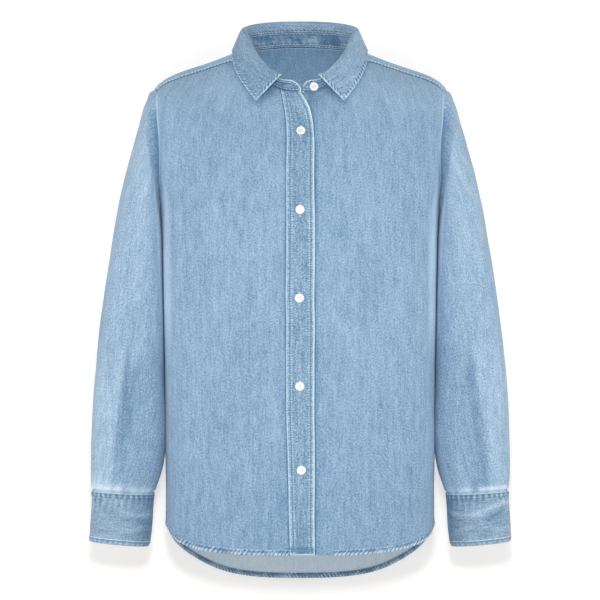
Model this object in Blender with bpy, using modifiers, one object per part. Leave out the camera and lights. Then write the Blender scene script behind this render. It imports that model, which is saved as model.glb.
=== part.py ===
"""A long-sleeved denim shirt, filled out and hollow, as its wearer would carry it on the shoulders.

Metres, +Z up. The front faces -Y and the wearer's left is +X. The origin lies midway between the two
points where the shoulder line meets the collar. Each piece that a maker cuts and sews on is one object:
an open surface worked out from rings, given the cloth's thickness by Solidify.
"""

import math

import bpy
import numpy as np

MM = 0.001

# Cloth and seams, in millimetres.
CLOTH = 1.2            # one layer of denim
FOLDED = 2.0           # placket, cuffs and collar leaf, which are two or three layers
STAND_CLOTH = 2.2      # collar stand with its interlining
SEAM_GAP = 0.3         # clear space between two pieces at a seam
ARMHOLE_GAP = 0.9      # space left round the armhole, where two walls meet at an angle

# The torso's rings run from the neck seam to the hem. On each ring the angle starts at the centre front
# and passes the wearer's left side. half_width, front and back reach out from the vertical axis; the three
# heights are those of the ring at the sides, centre front and centre back; corner is the superellipse
# power; front_lift and back_lift say how late the ring's height turns up towards the side. Millimetres.
TORSO_COLUMNS = (
    "half_width", "front", "back", "side_z", "front_z", "back_z", "corner", "front_lift", "back_lift",
)
TORSO_RINGS = {
    "neck": (76, 73, 60, 2, -60, 12, 2.00, 2.4, 2),
    "collar_bone": (104, 82, 73, -9, -78, -1, 2.05, 2, 2),
    "mid_shoulder": (144, 94, 86, -24.6, -106, -24, 2.15, 2, 2),
    "shoulder_tip": (187.5, 106, 97, -48.4, -142, -56, 2.30, 2, 2),
    "upper_armhole": (193, 113, 104, -98, -178, -92, 2.45, 2, 2),
    "lower_armhole": (187, 117, 109, -153, -214, -140, 2.60, 2, 2),
    "armpit": (179, 119, 111, -205, -258, -210, 2.65, 2, 2),
    "ribs": (176, 119, 111, -318, -340, -325, 2.60, 2, 2),
    "waist": (174.5, 117, 110, -428, -436, -440, 2.55, 3, 2),
    "hip": (174.5, 115, 109, -526, -542, -562, 2.50, 4, 3),
    "hem": (175.5, 113, 108, -612, -641, -695, 2.50, 4.4, 3.4),
}
TIP_ROW = list(TORSO_RINGS).index("shoulder_tip")
ARMPIT_ROW = list(TORSO_RINGS).index("armpit")
HEM_ROW = len(TORSO_RINGS) - 1
YOKE_ROW = (TIP_ROW + ARMPIT_ROW) / 2
YOKE_GAP = 0.003       # half the gap at the yoke seam, as a share of the way to the next ring

# Where the seams cross the rings, as angles round the torso in degrees.
SHOULDER_SEAM_AT_NECK = 66
SHOULDER_SEAM_AT_TIP = 79
SIDE_SEAM = 90
ARMHOLE_FRONT = 20     # how far the armhole reaches forward of its middle line
ARMHOLE_BACK = 25      # and back

# Hanging folds of the body: angle and width in degrees, height in millimetres, first and last ring.
FOLD_RISE = 1.5        # a fold grows to its height over this many rings
FOLD_FALL = (-0.3, 0.7)   # and dies away between these distances from its last ring
FOLD_LEFT = 0.6        # to this share of its height
FOLD_COLUMNS = ("angle", "width", "height", "first_row", "last_row")
TORSO_FOLDS = {
    "front_trough": (34, 12, -3.0, 4.5, 10),
    "front_ridge": (55, 11, 2.6, 5.5, 10),
    "side_trough": (74, 8, -1.6, 6.5, 10),
    "back_side_ridge": (118, 11, 3.0, 5.5, 10),
    "back_trough": (139, 10, -4.0, 5.0, 10),
    "back_ridge": (160, 10, 3.0, 4.7, 10),
}

# The button placket laps from the wearer's right front over the left. Its two edges and the hidden edge
# of the left front, as distances from the centre front at each height. Millimetres.
PLACKET_COLUMNS = ("z", "right_edge", "free_edge", "under_edge")
PLACKET = {
    "neck": (-60, -22.5, 2.2, 3.6),
    "first": (-72, -19.6, 9.5, -2.0),
    "second": (-84, -17.4, 14.8, -7.0),
    "third": (-100, -15.8, 17.8, -11.0),
    "chest": (-134, -15.0, 19.6, -13.0),
    "ribs": (-330, -15.8, 19.6, -13.0),
    "hem": (-645, -13.2, 20.0, -13.0),
}
OPEN_LIFT = 9.0        # at the throat the placket's free edge and the stand's end stand this far forward
OPEN_END_Z = -99       # the height where that lift has died away
OPEN_START_X = -24     # and the distance from the centre front where it starts
OPEN_REACH = 1.8       # it grows up to this many times that distance
OPEN_POWER = 1.6       # by this power of it
PLACKET_OVERLAP = 8    # the right front reaches this far under the placket
UNDER_DEPTH = 1.7      # the left front lies this much deeper below the placket
UNDER_START = 24       # where it starts to go deeper, from the centre front
UNDER_END = 14
UNDER_MARGIN = 5       # and never further than this past the placket's free edge

# Sleeve rings, from the armhole down: the outer and inner points in the front view, the ring's middle in
# depth, and how far it reaches forward and back of that. The wearer's left sleeve; the right is mirrored.
SLEEVE_COLUMNS = ("outer_x", "outer_z", "inner_x", "inner_z", "middle_y", "front", "back", "corner")
SLEEVE_RINGS = {
    "cap": (202, -76, 181.8, -210, -5, 57, 54, 2.2),
    "bicep": (216.5, -130, 178, -227, -2, 58, 56, 2.3),
    "upper_arm": (230.5, -184, 175, -256, 2, 57, 56, 2.35),
    "above_elbow": (246.5, -268, 173, -312, 7, 54, 54, 2.4),
    "elbow": (259.5, -350, 172, -370, 10, 51, 52, 2.45),
    "below_elbow": (267, -422, 172, -430, 9, 48, 49, 2.5),
    "forearm": (271, -492, 173, -497, 4, 44, 44, 2.5),
    "gathering": (272, -540, 179, -543, -2, 38, 38, 2.4),
    "cuff_seam": (270.5, -567.5, 188.6, -571.5, -5, 31, 32, 2.3),
}
SLEEVE_FOLDS = {   # angle 0 is the outer side, 90 the front, 180 the inner side
    "shoulder_pinch": (38, 10, -1.6, 0.6, 2.4),
    "front_ridge": (64, 11, 3.4, 5.0, 9),
    "front_trough": (88, 12, -2.0, 4.6, 9),
    "elbow_ridge": (122, 13, 1.6, 4.0, 8),
    "back_trough": (236, 13, -3.0, 3.0, 9),
    "back_ridge": (262, 12, 3.0, 3.5, 8.6),
}
SLEEVE_ROWS = len(SLEEVE_RINGS)
ARMHOLE_START = 1.2    # the sleeve's edge lies this far out of the armhole
ARMHOLE_DROP = 0.15    # and leaves it straight out, falling this much for each unit
LEAVING = 0.7          # the pull of that first curve at its two ends
ARRIVING = 0.8
FLATTEN = (1, 1, 0.3)  # the folds stand out from the arm's middle, mostly level
SLEEVE_CLEAR = 2.0     # the sleeve's middle surface stays this far from the body's side
SLEEVE_PRESS = 3.0     # over this depth it is pressed flat against the body
PRESS_START = -200     # the heights between which the pressing sets in, at the armpit
PRESS_END = -222

# Cuffs: a strip that laps over itself at the back of the wrist.
CUFF_RINGS = {
    "seam": (270.6, -568.4, 188.5, -572.4, -5, 31.2, 32.2, 2.3),
    "middle": (272.0, -601, 191.5, -606.5, -6, 31, 32, 2.3),
    "edge": (272.8, -634, 195.2, -641, -7, 30.5, 31.5, 2.3),
}
CUFF_START = 282       # the under end of the strip, in degrees round the wrist
CUFF_LAP = 40
CUFF_LAYER_STEP = 2.6  # how far the upper end lies outside the under end
SLEEVE_SLIT = {"angle": 300, "width": 24, "rows": 5, "lift": 2.0}   # the tower placket above the cuff opening

# Collar stand and leaf, one row for each section from the centre back to the leaf's point: the section's
# angle on the neck ring, the stand's top, the crest of the leaf's roll, and where the leaf's outer edge
# lies on the torso.
COLLAR_COLUMNS = (
    "angle", "top_x", "top_y", "top_z", "crest_x", "crest_y", "crest_z", "edge_angle", "edge_row",
)
COLLAR = {
    "back": (180, 0, 57, 34, 0, 61, 46.5, 180, 0.80),
    "back_side": (140, 47, 44, 31, 51, 47, 42.5, 141, 0.70),
    "shoulder": (98, 70, 8, 22, 74, 7, 31.5, 96, 0.42),
    "neck_side": (74, 66, -17, 12, 70, -18, 21, 71, 0.50),
    "throat_side": (56, 58, -40, -7, 61, -43, 0.5, 50.5, 0.87),
    "throat": (36, 41, -60, -29, 44, -64.5, -23, 36.5, 1.12),
    "point": (18, 22.5, -70, -41.5, 23.5, -75.5, -36.5, 27.2, 1.36),
    "opening": (0, 0, -76, -42, 0, -82, -39, 17, 1.50),
}
LEAF_LIFT = 3.0        # the leaf's edge lies this far above the yoke and fronts
LEAF_GAP = 0.6         # clear space between the stand's top edge and the leaf
ROLL = 2.6             # how far the roll's handles reach on each side of its crest
STAND_END_COLUMNS = ("angle", "curve", "height", "power")
STAND_ENDS = {         # where the stand ends on the neck ring, and how its top corner is rounded off there
    "right": (-0.6, 12, 0.15, 1.3),
    "left": (2.8, 12, 0.25, 2.0),
}
STAND_START = 0.064    # the stand starts at this share of its height, clear of the neck seam

# Buttons.
BUTTON_RADIUS = 5.7
BUTTON_THICK = 2.4
BUTTON_PROFILE = [     # how far in from the rim, and how high above the seat, from the top to the underside
    (BUTTON_RADIUS, BUTTON_THICK - 0.5),
    (1.5, BUTTON_THICK - 0.5),
    (1.0, BUTTON_THICK),
    (0.3, BUTTON_THICK - 0.1),
    (0.0, BUTTON_THICK - 0.6),
    (0.3, 0.7),
    (2.2, 0.0),
    (BUTTON_RADIUS, 0.0),
]
FRONT_BUTTONS = {     # the x and z of each button's middle
    "front_button_1": (1.6, -109),
    "front_button_2": (0.6, -209.5),
    "front_button_3": (-0.2, -319.5),
    "front_button_4": (0.2, -429.5),
    "front_button_5": (2.2, -534.5),
}
STAND_BUTTON_ANGLE = 14
STAND_BUTTON_HEIGHT = 0.5   # as a share of the stand's height
CUFF_BUTTON_SEAT = 0.1   # the flat button stands this much off the round cuff

# How finely the surfaces are divided.
ROWS_TO_TIP = 6
ROWS_AT_ARMHOLE = 12
ROWS_TO_HEM = 10
FRONT_COLUMNS = 12
YOKE_COLUMNS = 24
BACK_COLUMNS = 26
BAND_COLUMNS = 3       # of the button placket and the sleeve plackets
SLEEVE_CAP_ROWS = 4    # out of the armhole
SLEEVE_ARM_ROWS = 14   # and down to the cuff
CUFF_ROWS = 3
CUFF_COLUMNS = 30
STAND_ROWS = 2
STAND_END_STEPS = 5
LEAF_COLUMNS = 17      # from each of the collar's points to the centre back
CLIMB = (0, 0.1, 0.4, 0.75)               # the leaf's rows up to the roll line
FALL = (0, 0.12, 0.3, 0.5, 0.75, 1)       # and down to its edge
BUTTON_SIDES = 12
MERGE = 1e-5           # metres, to close a turned shape on its axis
SAMPLES = 400          # for reading a curve the other way round
SMALL = 1e-3           # a step of an angle or a row, small beside any detail

DENIM = {"color": (0.30, 0.46, 0.62, 1), "roughness": 0.85}
BUTTON_WHITE = {"color": (0.86, 0.86, 0.82, 1), "roughness": 0.3}


def smooth(knots, at):
    """Rows of knots joined by a natural cubic spline, read at fractional row numbers.

    The second derivatives at the knots solve the usual three-term equations, and each span is then the
    straight line between its knots plus the cubic that those derivatives give.
    """
    knots = np.asarray(knots, float)
    count = len(knots)
    bend = np.zeros_like(knots)
    terms = 4 * np.eye(count - 2) + np.eye(count - 2, k=1) + np.eye(count - 2, k=-1)
    turns = 6 * (knots[2:] - 2 * knots[1:-1] + knots[:-2])
    bend[1:-1] = np.linalg.solve(terms, turns.reshape(count - 2, -1)).reshape(turns.shape)
    at = np.asarray(at, float)
    row = np.clip(np.floor(at).astype(int), 0, count - 2)
    right = (at - row).reshape(at.shape + (1,) * (knots.ndim - 1))
    left = 1 - right
    line = knots[row] * left + knots[row + 1] * right
    return line + (bend[row] * (left**3 - left) + bend[row + 1] * (right**3 - right)) / 6


def ramp(low, high, at):
    """0 below low, 1 above high, with a soft start and end."""
    t = np.clip((np.asarray(at, float) - low) / (high - low), 0, 1)
    return t * t * (3 - 2 * t)


def folds_at(folds, angle, row):
    """The height of all the folds at an angle in degrees and a row, each a bell across and a ramp along."""
    total = 0
    for name in folds:
        fold = dict(zip(FOLD_COLUMNS, folds[name]))
        across = np.exp(-(((angle - fold["angle"]) / fold["width"]) ** 2))
        along = ramp(fold["first_row"], fold["first_row"] + FOLD_RISE, row)
        fade = 1 - ramp(fold["last_row"] + FOLD_FALL[0], fold["last_row"] + FOLD_FALL[1], row)
        total = total + fold["height"] * across * along * np.maximum(fade, FOLD_LEFT)
    return total


def torso(angle, row):
    """The body's surface at an angle in degrees and a ring row, as an array ending in x, y, z."""
    angle, row = np.broadcast_arrays(np.asarray(angle, float), np.asarray(row, float))
    columns = smooth(list(TORSO_RINGS.values()), row)
    ring = {name: columns[..., i] for i, name in enumerate(TORSO_COLUMNS)}
    sine, cosine = np.sin(np.radians(angle)), np.cos(np.radians(angle))
    is_front = cosine > 0
    power = ring["corner"]
    reach = (np.abs(sine) ** power + np.abs(cosine) ** power) ** (-1 / power)
    from_front = np.degrees(np.arccos(np.clip(cosine, -1, 1)))
    fold = folds_at(TORSO_FOLDS, from_front, row)
    depth = np.where(is_front, ring["front"], ring["back"])
    middle_z = np.where(is_front, ring["front_z"], ring["back_z"])
    lift = np.abs(sine) ** np.where(is_front, ring["front_lift"], ring["back_lift"])
    x = (ring["half_width"] * reach + fold) * sine
    y = -(depth * reach + fold) * cosine
    z = middle_z + (ring["side_z"] - middle_z) * lift
    return np.stack([x, y, z], axis=-1)


def unit(vectors):
    return vectors / np.linalg.norm(vectors, axis=-1, keepdims=True)


def torso_normal(angle, row):
    """The outward direction of the body's surface."""
    row = np.clip(np.asarray(row, float), SMALL, HEM_ROW - SMALL)
    along = torso(angle, row + SMALL) - torso(angle, row - SMALL)
    round_it = torso(np.asarray(angle) + SMALL, row) - torso(np.asarray(angle) - SMALL, row)
    return unit(np.cross(along, round_it))


def on_torso(angle, row, lift):
    """A point of the body's surface, moved out by lift millimetres."""
    lift = np.broadcast_to(np.asarray(lift, float), np.broadcast(angle, row).shape)
    return torso(angle, row) + torso_normal(angle, row) * lift[..., None]


def ring_rows():
    """The rows of the panels, closest together where the armhole curves."""
    to_tip = np.linspace(0, TIP_ROW, ROWS_TO_TIP + 1)
    turn = np.linspace(0, math.pi, ROWS_AT_ARMHOLE + 1)
    armhole = YOKE_ROW - (ARMPIT_ROW - YOKE_ROW) * np.cos(turn)
    to_hem = np.linspace(ARMPIT_ROW, HEM_ROW, ROWS_TO_HEM + 1)
    return np.concatenate([to_tip, armhole[1:], to_hem[1:]])


def armhole_edge(row, side):
    """The armhole's angle at a row: side -1 is its front edge and 1 its back edge."""
    height = (np.asarray(row, float) - YOKE_ROW) / (ARMPIT_ROW - YOKE_ROW)
    width = np.sqrt(np.clip(1 - height**2, 0, 1))
    middle = SHOULDER_SEAM_AT_TIP + (SIDE_SEAM - SHOULDER_SEAM_AT_TIP) * (height + 1) / 2
    reach = ARMHOLE_FRONT if side < 0 else ARMHOLE_BACK
    return middle + side * reach * width


def panel_edge(row, side):
    """The angle where a panel ends at a row: at the shoulder seam, then the armhole, then the side seam."""
    seam = SHOULDER_SEAM_AT_NECK + (SHOULDER_SEAM_AT_TIP - SHOULDER_SEAM_AT_NECK) * row / TIP_ROW
    hole = armhole_edge(row, side)
    return np.where(row < TIP_ROW, seam, np.where(row < ARMPIT_ROW, hole, SIDE_SEAM))


def degrees_for(gap, row):
    """The angle that a gap in millimetres takes up on a ring."""
    half_width = smooth(list(TORSO_RINGS.values()), row)[..., 0]
    return np.degrees(gap / half_width)


def panel_gap(row):
    """Half the gap at a panel's edge, as an angle: wider at the armhole."""
    at_hole = (row >= TIP_ROW - SMALL) & (row <= ARMPIT_ROW + SMALL)
    return degrees_for(np.where(at_hole, ARMHOLE_GAP, SEAM_GAP) / 2, row)


def front_angle(x, row):
    """The angle at which a ring's front lies at x, by halving the interval."""
    low, high = np.full(np.shape(row), -40.0), np.full(np.shape(row), 40.0)
    for _ in range(40):
        middle = (low + high) / 2
        too_far = torso(middle, row)[..., 0] > x
        high = np.where(too_far, middle, high)
        low = np.where(too_far, low, middle)
    return low


def placket_line(column, row):
    """The x of one of the placket's lines at each row, read from its table by height."""
    table = np.array(list(PLACKET.values()), float)[::-1]
    z = torso(0, row)[..., 2]
    knot = np.interp(z, table[:, 0], np.arange(len(table)))
    return smooth(table, knot)[..., PLACKET_COLUMNS.index(column)]


def add_surface(name, points, thickness, look, closed=False):
    """An open grid of points in millimetres, closed round its columns or not, given a wall by Solidify."""
    rows, columns = points.shape[:2]
    index = np.arange(rows * columns).reshape(rows, columns)
    if closed:
        index = np.concatenate([index, index[:, :1]], axis=1)
    corners = (index[:-1, :-1], index[1:, :-1], index[1:, 1:], index[:-1, 1:])
    faces = np.stack(corners, axis=-1).reshape(-1, 4)
    mesh = bpy.data.meshes.new(name)
    mesh.from_pydata((points.reshape(-1, 3) * MM).tolist(), [], faces.tolist())
    mesh.shade_smooth()
    piece = bpy.data.objects.new(name, mesh)
    shirt().objects.link(piece)
    wall = piece.modifiers.new("wall", "SOLIDIFY")
    wall.thickness = thickness * MM
    wall.offset = 0
    mesh.materials.append(material(name, look))


def shirt():
    """The collection that holds the pieces."""
    found = bpy.data.collections.get("denim_shirt")
    if found is None:
        found = bpy.data.collections.new("denim_shirt")
        bpy.context.scene.collection.children.link(found)
    return found


def material(name, look):
    made = bpy.data.materials.new(name)
    made.use_nodes = True
    shader = made.node_tree.nodes["Principled BSDF"]
    shader.inputs["Base Color"].default_value = look["color"]
    shader.inputs["Roughness"].default_value = look["roughness"]
    shader.inputs["Metallic"].default_value = 0
    return made


def across(start, end, columns):
    """Angles from start to end at each row, as a grid of rows by columns."""
    share = np.linspace(0, 1, columns + 1)
    return start[:, None] + (end - start)[:, None] * share


def front_panel(side):
    """One front: side 1 is the wearer's left, which lies under the placket, and -1 the right."""
    rows = ring_rows()
    rows[0] += SMALL
    outer = panel_edge(rows, -1) - panel_gap(rows)
    if side > 0:
        inner = front_angle(placket_line("under_edge", rows), rows)
    else:
        inner = -front_angle(placket_line("right_edge", rows) + PLACKET_OVERLAP, rows)
    angle = across(inner, outer, FRONT_COLUMNS) * side
    row = np.broadcast_to(rows[:, None], angle.shape)
    if side > 0:
        start = np.minimum(UNDER_START, placket_line("free_edge", rows) + UNDER_MARGIN)[:, None]
        under = (start - torso(angle, row)[..., 0]) / (UNDER_START - UNDER_END)
        points = on_torso(angle, row, -UNDER_DEPTH * ramp(0, 1, under))
        add_surface("front_left", points, CLOTH, DENIM)
    else:
        add_surface("front_right", torso(angle, row)[:, ::-1], CLOTH, DENIM)


def yoke():
    """The yoke, from the front shoulder seams over the shoulders to the seam across the back."""
    rows = ring_rows()
    rows = rows[rows <= YOKE_ROW + SMALL]
    rows[0] += SMALL
    rows[-1] -= YOKE_GAP
    edge = panel_edge(rows, 1) + panel_gap(rows)
    angle = across(edge, 360 - edge, YOKE_COLUMNS)
    add_surface("yoke", torso(angle, rows[:, None]), CLOTH, DENIM)


def back_panel():
    """The back, from the yoke seam to the long tail."""
    rows = ring_rows()
    rows = rows[rows >= YOKE_ROW - SMALL]
    rows[0] += YOKE_GAP
    edge = panel_edge(rows, 1) + panel_gap(rows)
    angle = across(edge, 360 - edge, BACK_COLUMNS)
    add_surface("back", torso(angle, rows[:, None]), CLOTH, DENIM)


def opened(points):
    """The placket's and the stand's points near the open throat, moved forward towards the free edge."""
    x, y, z = np.moveaxis(points, -1, 0)
    reach = np.clip((x - OPEN_START_X) / -OPEN_START_X, 0, OPEN_REACH)
    height = ramp(OPEN_END_Z, PLACKET["neck"][0], z) * (y < 0)
    return points - np.stack([0 * x, OPEN_LIFT * reach**OPEN_POWER * height, 0 * x], axis=-1)


def placket():
    """The strip with the buttonholes, on the right front and over the left."""
    rows = ring_rows()
    rows[0] += 2 * SMALL
    right = front_angle(placket_line("right_edge", rows), rows)
    free = front_angle(placket_line("free_edge", rows), rows)
    angle = across(right, free, BAND_COLUMNS)
    row = np.broadcast_to(rows[:, None], angle.shape)
    lift = CLOTH / 2 + SEAM_GAP + FOLDED / 2
    add_surface("button_placket", opened(on_torso(angle, row, lift)), FOLDED, DENIM)


def armhole_curve(turn):
    """The armhole's edge at turns in radians, from its top down the front and up the back."""
    row = YOKE_ROW - (ARMPIT_ROW - YOKE_ROW) * np.cos(turn)
    is_front = np.sin(turn) >= 0
    return torso(np.where(is_front, armhole_edge(row, -1), armhole_edge(row, 1)), row)


def arm_ring(sizes, turn):
    """One ring round the arm from a table row: angle 0 outside, 90 degrees in front."""
    ring = dict(zip(SLEEVE_COLUMNS, sizes))
    sine, cosine = np.sin(turn), np.cos(turn)
    power = ring["corner"]
    reach = (np.abs(sine) ** power + np.abs(cosine) ** power) ** (-1 / power)
    middle_x = (ring["outer_x"] + ring["inner_x"]) / 2
    middle_z = (ring["outer_z"] + ring["inner_z"]) / 2
    half_x = (ring["outer_x"] - ring["inner_x"]) / 2
    half_z = (ring["outer_z"] - ring["inner_z"]) / 2
    depth = np.where(sine > 0, ring["front"], ring["back"])
    x = middle_x + half_x * reach * cosine
    y = ring["middle_y"] - depth * reach * sine
    z = middle_z + half_z * reach * cosine
    return np.stack([x, y, z], axis=-1)


def body_side(y, z):
    """How far out the body's left side reaches at a depth and height, from the ring of that height."""
    columns = np.array(list(TORSO_RINGS.values()), float)
    heights = columns[:, TORSO_COLUMNS.index("side_z")]
    row = np.interp(-z, -heights, np.arange(len(heights)))
    ring = {name: values for name, values in zip(TORSO_COLUMNS, np.moveaxis(smooth(columns, row), -1, 0))}
    depth = np.clip(np.abs(y) / np.where(y < 0, ring["front"], ring["back"]), 0, 1)
    power = ring["corner"]
    width = (1 - depth**power) ** (1 / power)
    angle = np.degrees(np.arctan2(width, np.where(y < 0, depth, -depth)))
    return ring["half_width"] * width + folds_at(TORSO_FOLDS, angle, row) * width


def out_of_armhole(turn, rings, row):
    """The sleeve's first span: a curve that leaves the armhole straight out and runs into the rings."""
    start = armhole_curve(turn) + np.array([ARMHOLE_START, 0, 0])
    end = rings[0]
    reach = np.linalg.norm(end - start, axis=-1, keepdims=True)
    leaving = unit(np.array([1, 0, -ARMHOLE_DROP])) * reach * LEAVING
    arriving = unit(smooth(rings, np.array([SMALL]))[0] - end) * reach * ARRIVING
    t = row[:, None, None]
    return (
        start * (1 + 2 * t) * (1 - t) ** 2
        + leaving * t * (1 - t) ** 2
        + end * t**2 * (3 - 2 * t)
        + arriving * t**2 * (t - 1)
    )


def sleeve_points(turn, row):
    """The left sleeve at turns in radians and rows: out of the armhole, down the rings, clear of the body."""
    rings = np.stack([arm_ring(sizes, turn) for sizes in SLEEVE_RINGS.values()])
    first = out_of_armhole(turn, rings, row[row < 1])
    points = np.concatenate([first, smooth(rings, row[row >= 1] - 1)])
    centre = points.mean(axis=1, keepdims=True)
    outward = unit((points - centre) * FLATTEN)
    points = points + outward * folds_at(SLEEVE_FOLDS, np.degrees(turn)[None, :], row[:, None])[..., None]
    x, y, z = np.moveaxis(points, -1, 0)
    wall = body_side(y, z) + SLEEVE_CLEAR
    pressed = (x + wall + np.sqrt((x - wall) ** 2 + SLEEVE_PRESS**2)) / 2
    below_armpit = ramp(-PRESS_START, -PRESS_END, -z)
    return np.stack([x + (pressed - x) * below_armpit, y, z], axis=-1)


def sleeve_rows():
    """The sleeve's rows: 0 at the armhole, 1 at the first ring of its table and SLEEVE_ROWS at the cuff."""
    cap = np.linspace(0, 1, SLEEVE_CAP_ROWS + 1)
    arm = np.linspace(1, SLEEVE_ROWS, SLEEVE_ARM_ROWS + 1)
    return np.concatenate([cap, arm[1:]])


def mirrored(points):
    """The same grid on the other side of the body, with its columns turned round to face outwards."""
    return points[:, ::-1] * np.array([-1, 1, 1])


def place(name, points, thickness, side, closed=False):
    """Adds a piece of the left side, or its mirror image on the right."""
    if side < 0:
        points = mirrored(points)
    suffix = "left" if side > 0 else "right"
    add_surface(f"{name}_{suffix}", points, thickness, DENIM, closed)


def even_turns(sides):
    return 2 * np.pi * np.arange(sides) / sides


def sleeve(side):
    points = sleeve_points(even_turns(2 * ROWS_AT_ARMHOLE), sleeve_rows())
    place("sleeve", points[:, ::-1], CLOTH, side, closed=True)


def cuff_surface(turn, down):
    """The cuff's point at an angle in degrees past its under end and a share of its height."""
    rings = np.stack([arm_ring(sizes, np.radians(CUFF_START + turn)) for sizes in CUFF_RINGS.values()])
    points = smooth(rings, down * (len(rings) - 1))
    centre = smooth([ring_centre(sizes) for sizes in CUFF_RINGS.values()], down * (len(rings) - 1))
    outward = points - centre[:, None]
    step = CUFF_LAYER_STEP * (ramp(0, 360 + CUFF_LAP, turn) - 0.5)
    return points + unit(outward) * step[None, :, None]


def ring_centre(sizes):
    ring = dict(zip(SLEEVE_COLUMNS, sizes))
    x = (ring["outer_x"] + ring["inner_x"]) / 2
    z = (ring["outer_z"] + ring["inner_z"]) / 2
    return np.array([x, ring["middle_y"], z])


def cuff(side):
    turn = np.linspace(0, 360 + CUFF_LAP, CUFF_COLUMNS + 1)
    down = np.linspace(0, 1, CUFF_ROWS + 1)
    place("cuff", cuff_surface(turn, down)[:, ::-1], FOLDED, side)


def sleeve_slit(side):
    """The tower placket on the sleeve's slit, made from the sleeve's own points, moved out."""
    fine = np.radians(np.arange(360))
    rows = sleeve_rows()[-SLEEVE_SLIT["rows"]:]
    ring = sleeve_points(fine, rows)
    ahead = np.roll(ring, -1, axis=1) - np.roll(ring, 1, axis=1)
    down = np.gradient(ring, axis=0)
    normal = unit(np.cross(down, ahead))
    lifted = ring + normal * SLEEVE_SLIT["lift"]
    run = np.cumsum(np.linalg.norm(ahead, axis=-1) / 2, axis=1)
    middle = run[:, SLEEVE_SLIT["angle"]]
    strip = []
    for share in np.linspace(-0.5, 0.5, BAND_COLUMNS + 1):
        wanted = middle + share * SLEEVE_SLIT["width"]
        column = [[np.interp(w, r, line[:, i]) for i in range(3)] for w, r, line in zip(wanted, run, lifted)]
        strip.append(column)
    place("sleeve_placket", np.moveaxis(np.array(strip), 0, 1)[:, ::-1], CLOTH, side)


def collar_section(angle):
    """The collar's sizes at ring angles, read from its table by how far round the angle lies."""
    table = np.array(list(COLLAR.values()), float)
    away = np.abs(np.asarray(angle, float))
    fine = np.linspace(0, len(table) - 1, SAMPLES)
    knot = np.interp(-away, -smooth(table, fine)[:, 0], fine)
    columns = smooth(table, knot)
    return {name: columns[..., i] for i, name in enumerate(COLLAR_COLUMNS)}


def section_point(section, kind, side):
    """One of the section's named points, on the side of the body that the angle's sign gives."""
    x, y, z = (section[f"{kind}_{axis}"] for axis in "xyz")
    return np.stack([x * side, y, z], axis=-1)


def stand_point(angle, share):
    """A point of the stand at a ring angle, and a share of the way from the neck seam to its top edge."""
    base = torso(angle, 0)
    top = section_point(collar_section(angle), "top", np.where(np.asarray(angle) < 0, -1, 1))
    share = STAND_START + (1 - STAND_START) * np.asarray(share, float)
    return base + (top - base) * share[..., None]


def leaf_angles():
    """Ring angles from the leaf's front end to the centre back."""
    return np.linspace(COLLAR["point"][0], COLLAR["back"][0], LEAF_COLUMNS + 1)


def stand_half(name):
    """Distances in degrees from the centre front to the back, and the share of the stand's height at each."""
    end = dict(zip(STAND_END_COLUMNS, STAND_ENDS[name]))
    past_end = end["curve"] * (1 - np.cos(np.linspace(0, math.pi / 2, STAND_END_STEPS + 1)))
    left = 1 - past_end / end["curve"]
    corner = end["height"] + (1 - end["height"]) * (1 - left ** end["power"]) ** (1 / end["power"])
    angle = np.concatenate([end["angle"] + past_end, leaf_angles()])
    return angle, np.concatenate([corner, np.ones_like(leaf_angles())])


def stand():
    """The collar stand, round the neck from one rounded end to the other."""
    right, right_height = stand_half("right")
    left, left_height = stand_half("left")
    angle = np.concatenate([left, -right[-2::-1]])
    height = np.concatenate([left_height, right_height[-2::-1]])
    share = height * np.linspace(0, 1, STAND_ROWS + 1)[:, None]
    points = stand_point(np.broadcast_to(angle, share.shape), share)
    is_right = (np.arange(len(angle)) >= len(left))[None, :, None]
    points = np.where(is_right, opened(points), points)
    add_surface("collar_stand", points, STAND_CLOTH, DENIM)


def bezier(start, first, second, end, t):
    """A cubic curve between two points with two handles."""
    return start * (1 - t) ** 3 + 3 * first * t * (1 - t) ** 2 + 3 * second * t**2 * (1 - t) + end * t**3


def leaf_points(angle, climb, fall):
    """The collar leaf: up from the stand's top to its roll line at climb, then down to its edge at fall."""
    section = collar_section(angle)
    side = np.where(angle < 0, -1, 1)
    top = stand_point(angle, np.ones_like(angle))
    upward = unit(top - stand_point(angle, np.zeros_like(angle)))
    joint = (top + upward * LEAF_GAP)[None]
    crest = section_point(section, "crest", side)[None]
    edge = on_torso(section["edge_angle"] * side, section["edge_row"], LEAF_LIFT)[None]
    rise = np.linalg.norm(crest - joint, axis=-1, keepdims=True)
    outward = unit((crest - joint) * np.array([1, 1, 0]))
    falling = unit(edge - crest)
    drop = np.linalg.norm(edge - crest, axis=-1, keepdims=True)
    climb, fall = climb[:, None, None], fall[:, None, None]
    inner = bezier(joint, joint + upward * rise * 0.5, crest - outward * ROLL, crest, climb)
    outer = bezier(crest, crest + outward * ROLL, edge - falling * drop * 0.5, edge, fall)
    return np.concatenate([inner, outer])


def leaf():
    half = leaf_angles()
    angle = np.concatenate([-half, half[-2::-1]])
    add_surface("collar_leaf", leaf_points(angle, np.array(CLIMB), np.array(FALL)), FOLDED, DENIM)


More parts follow.
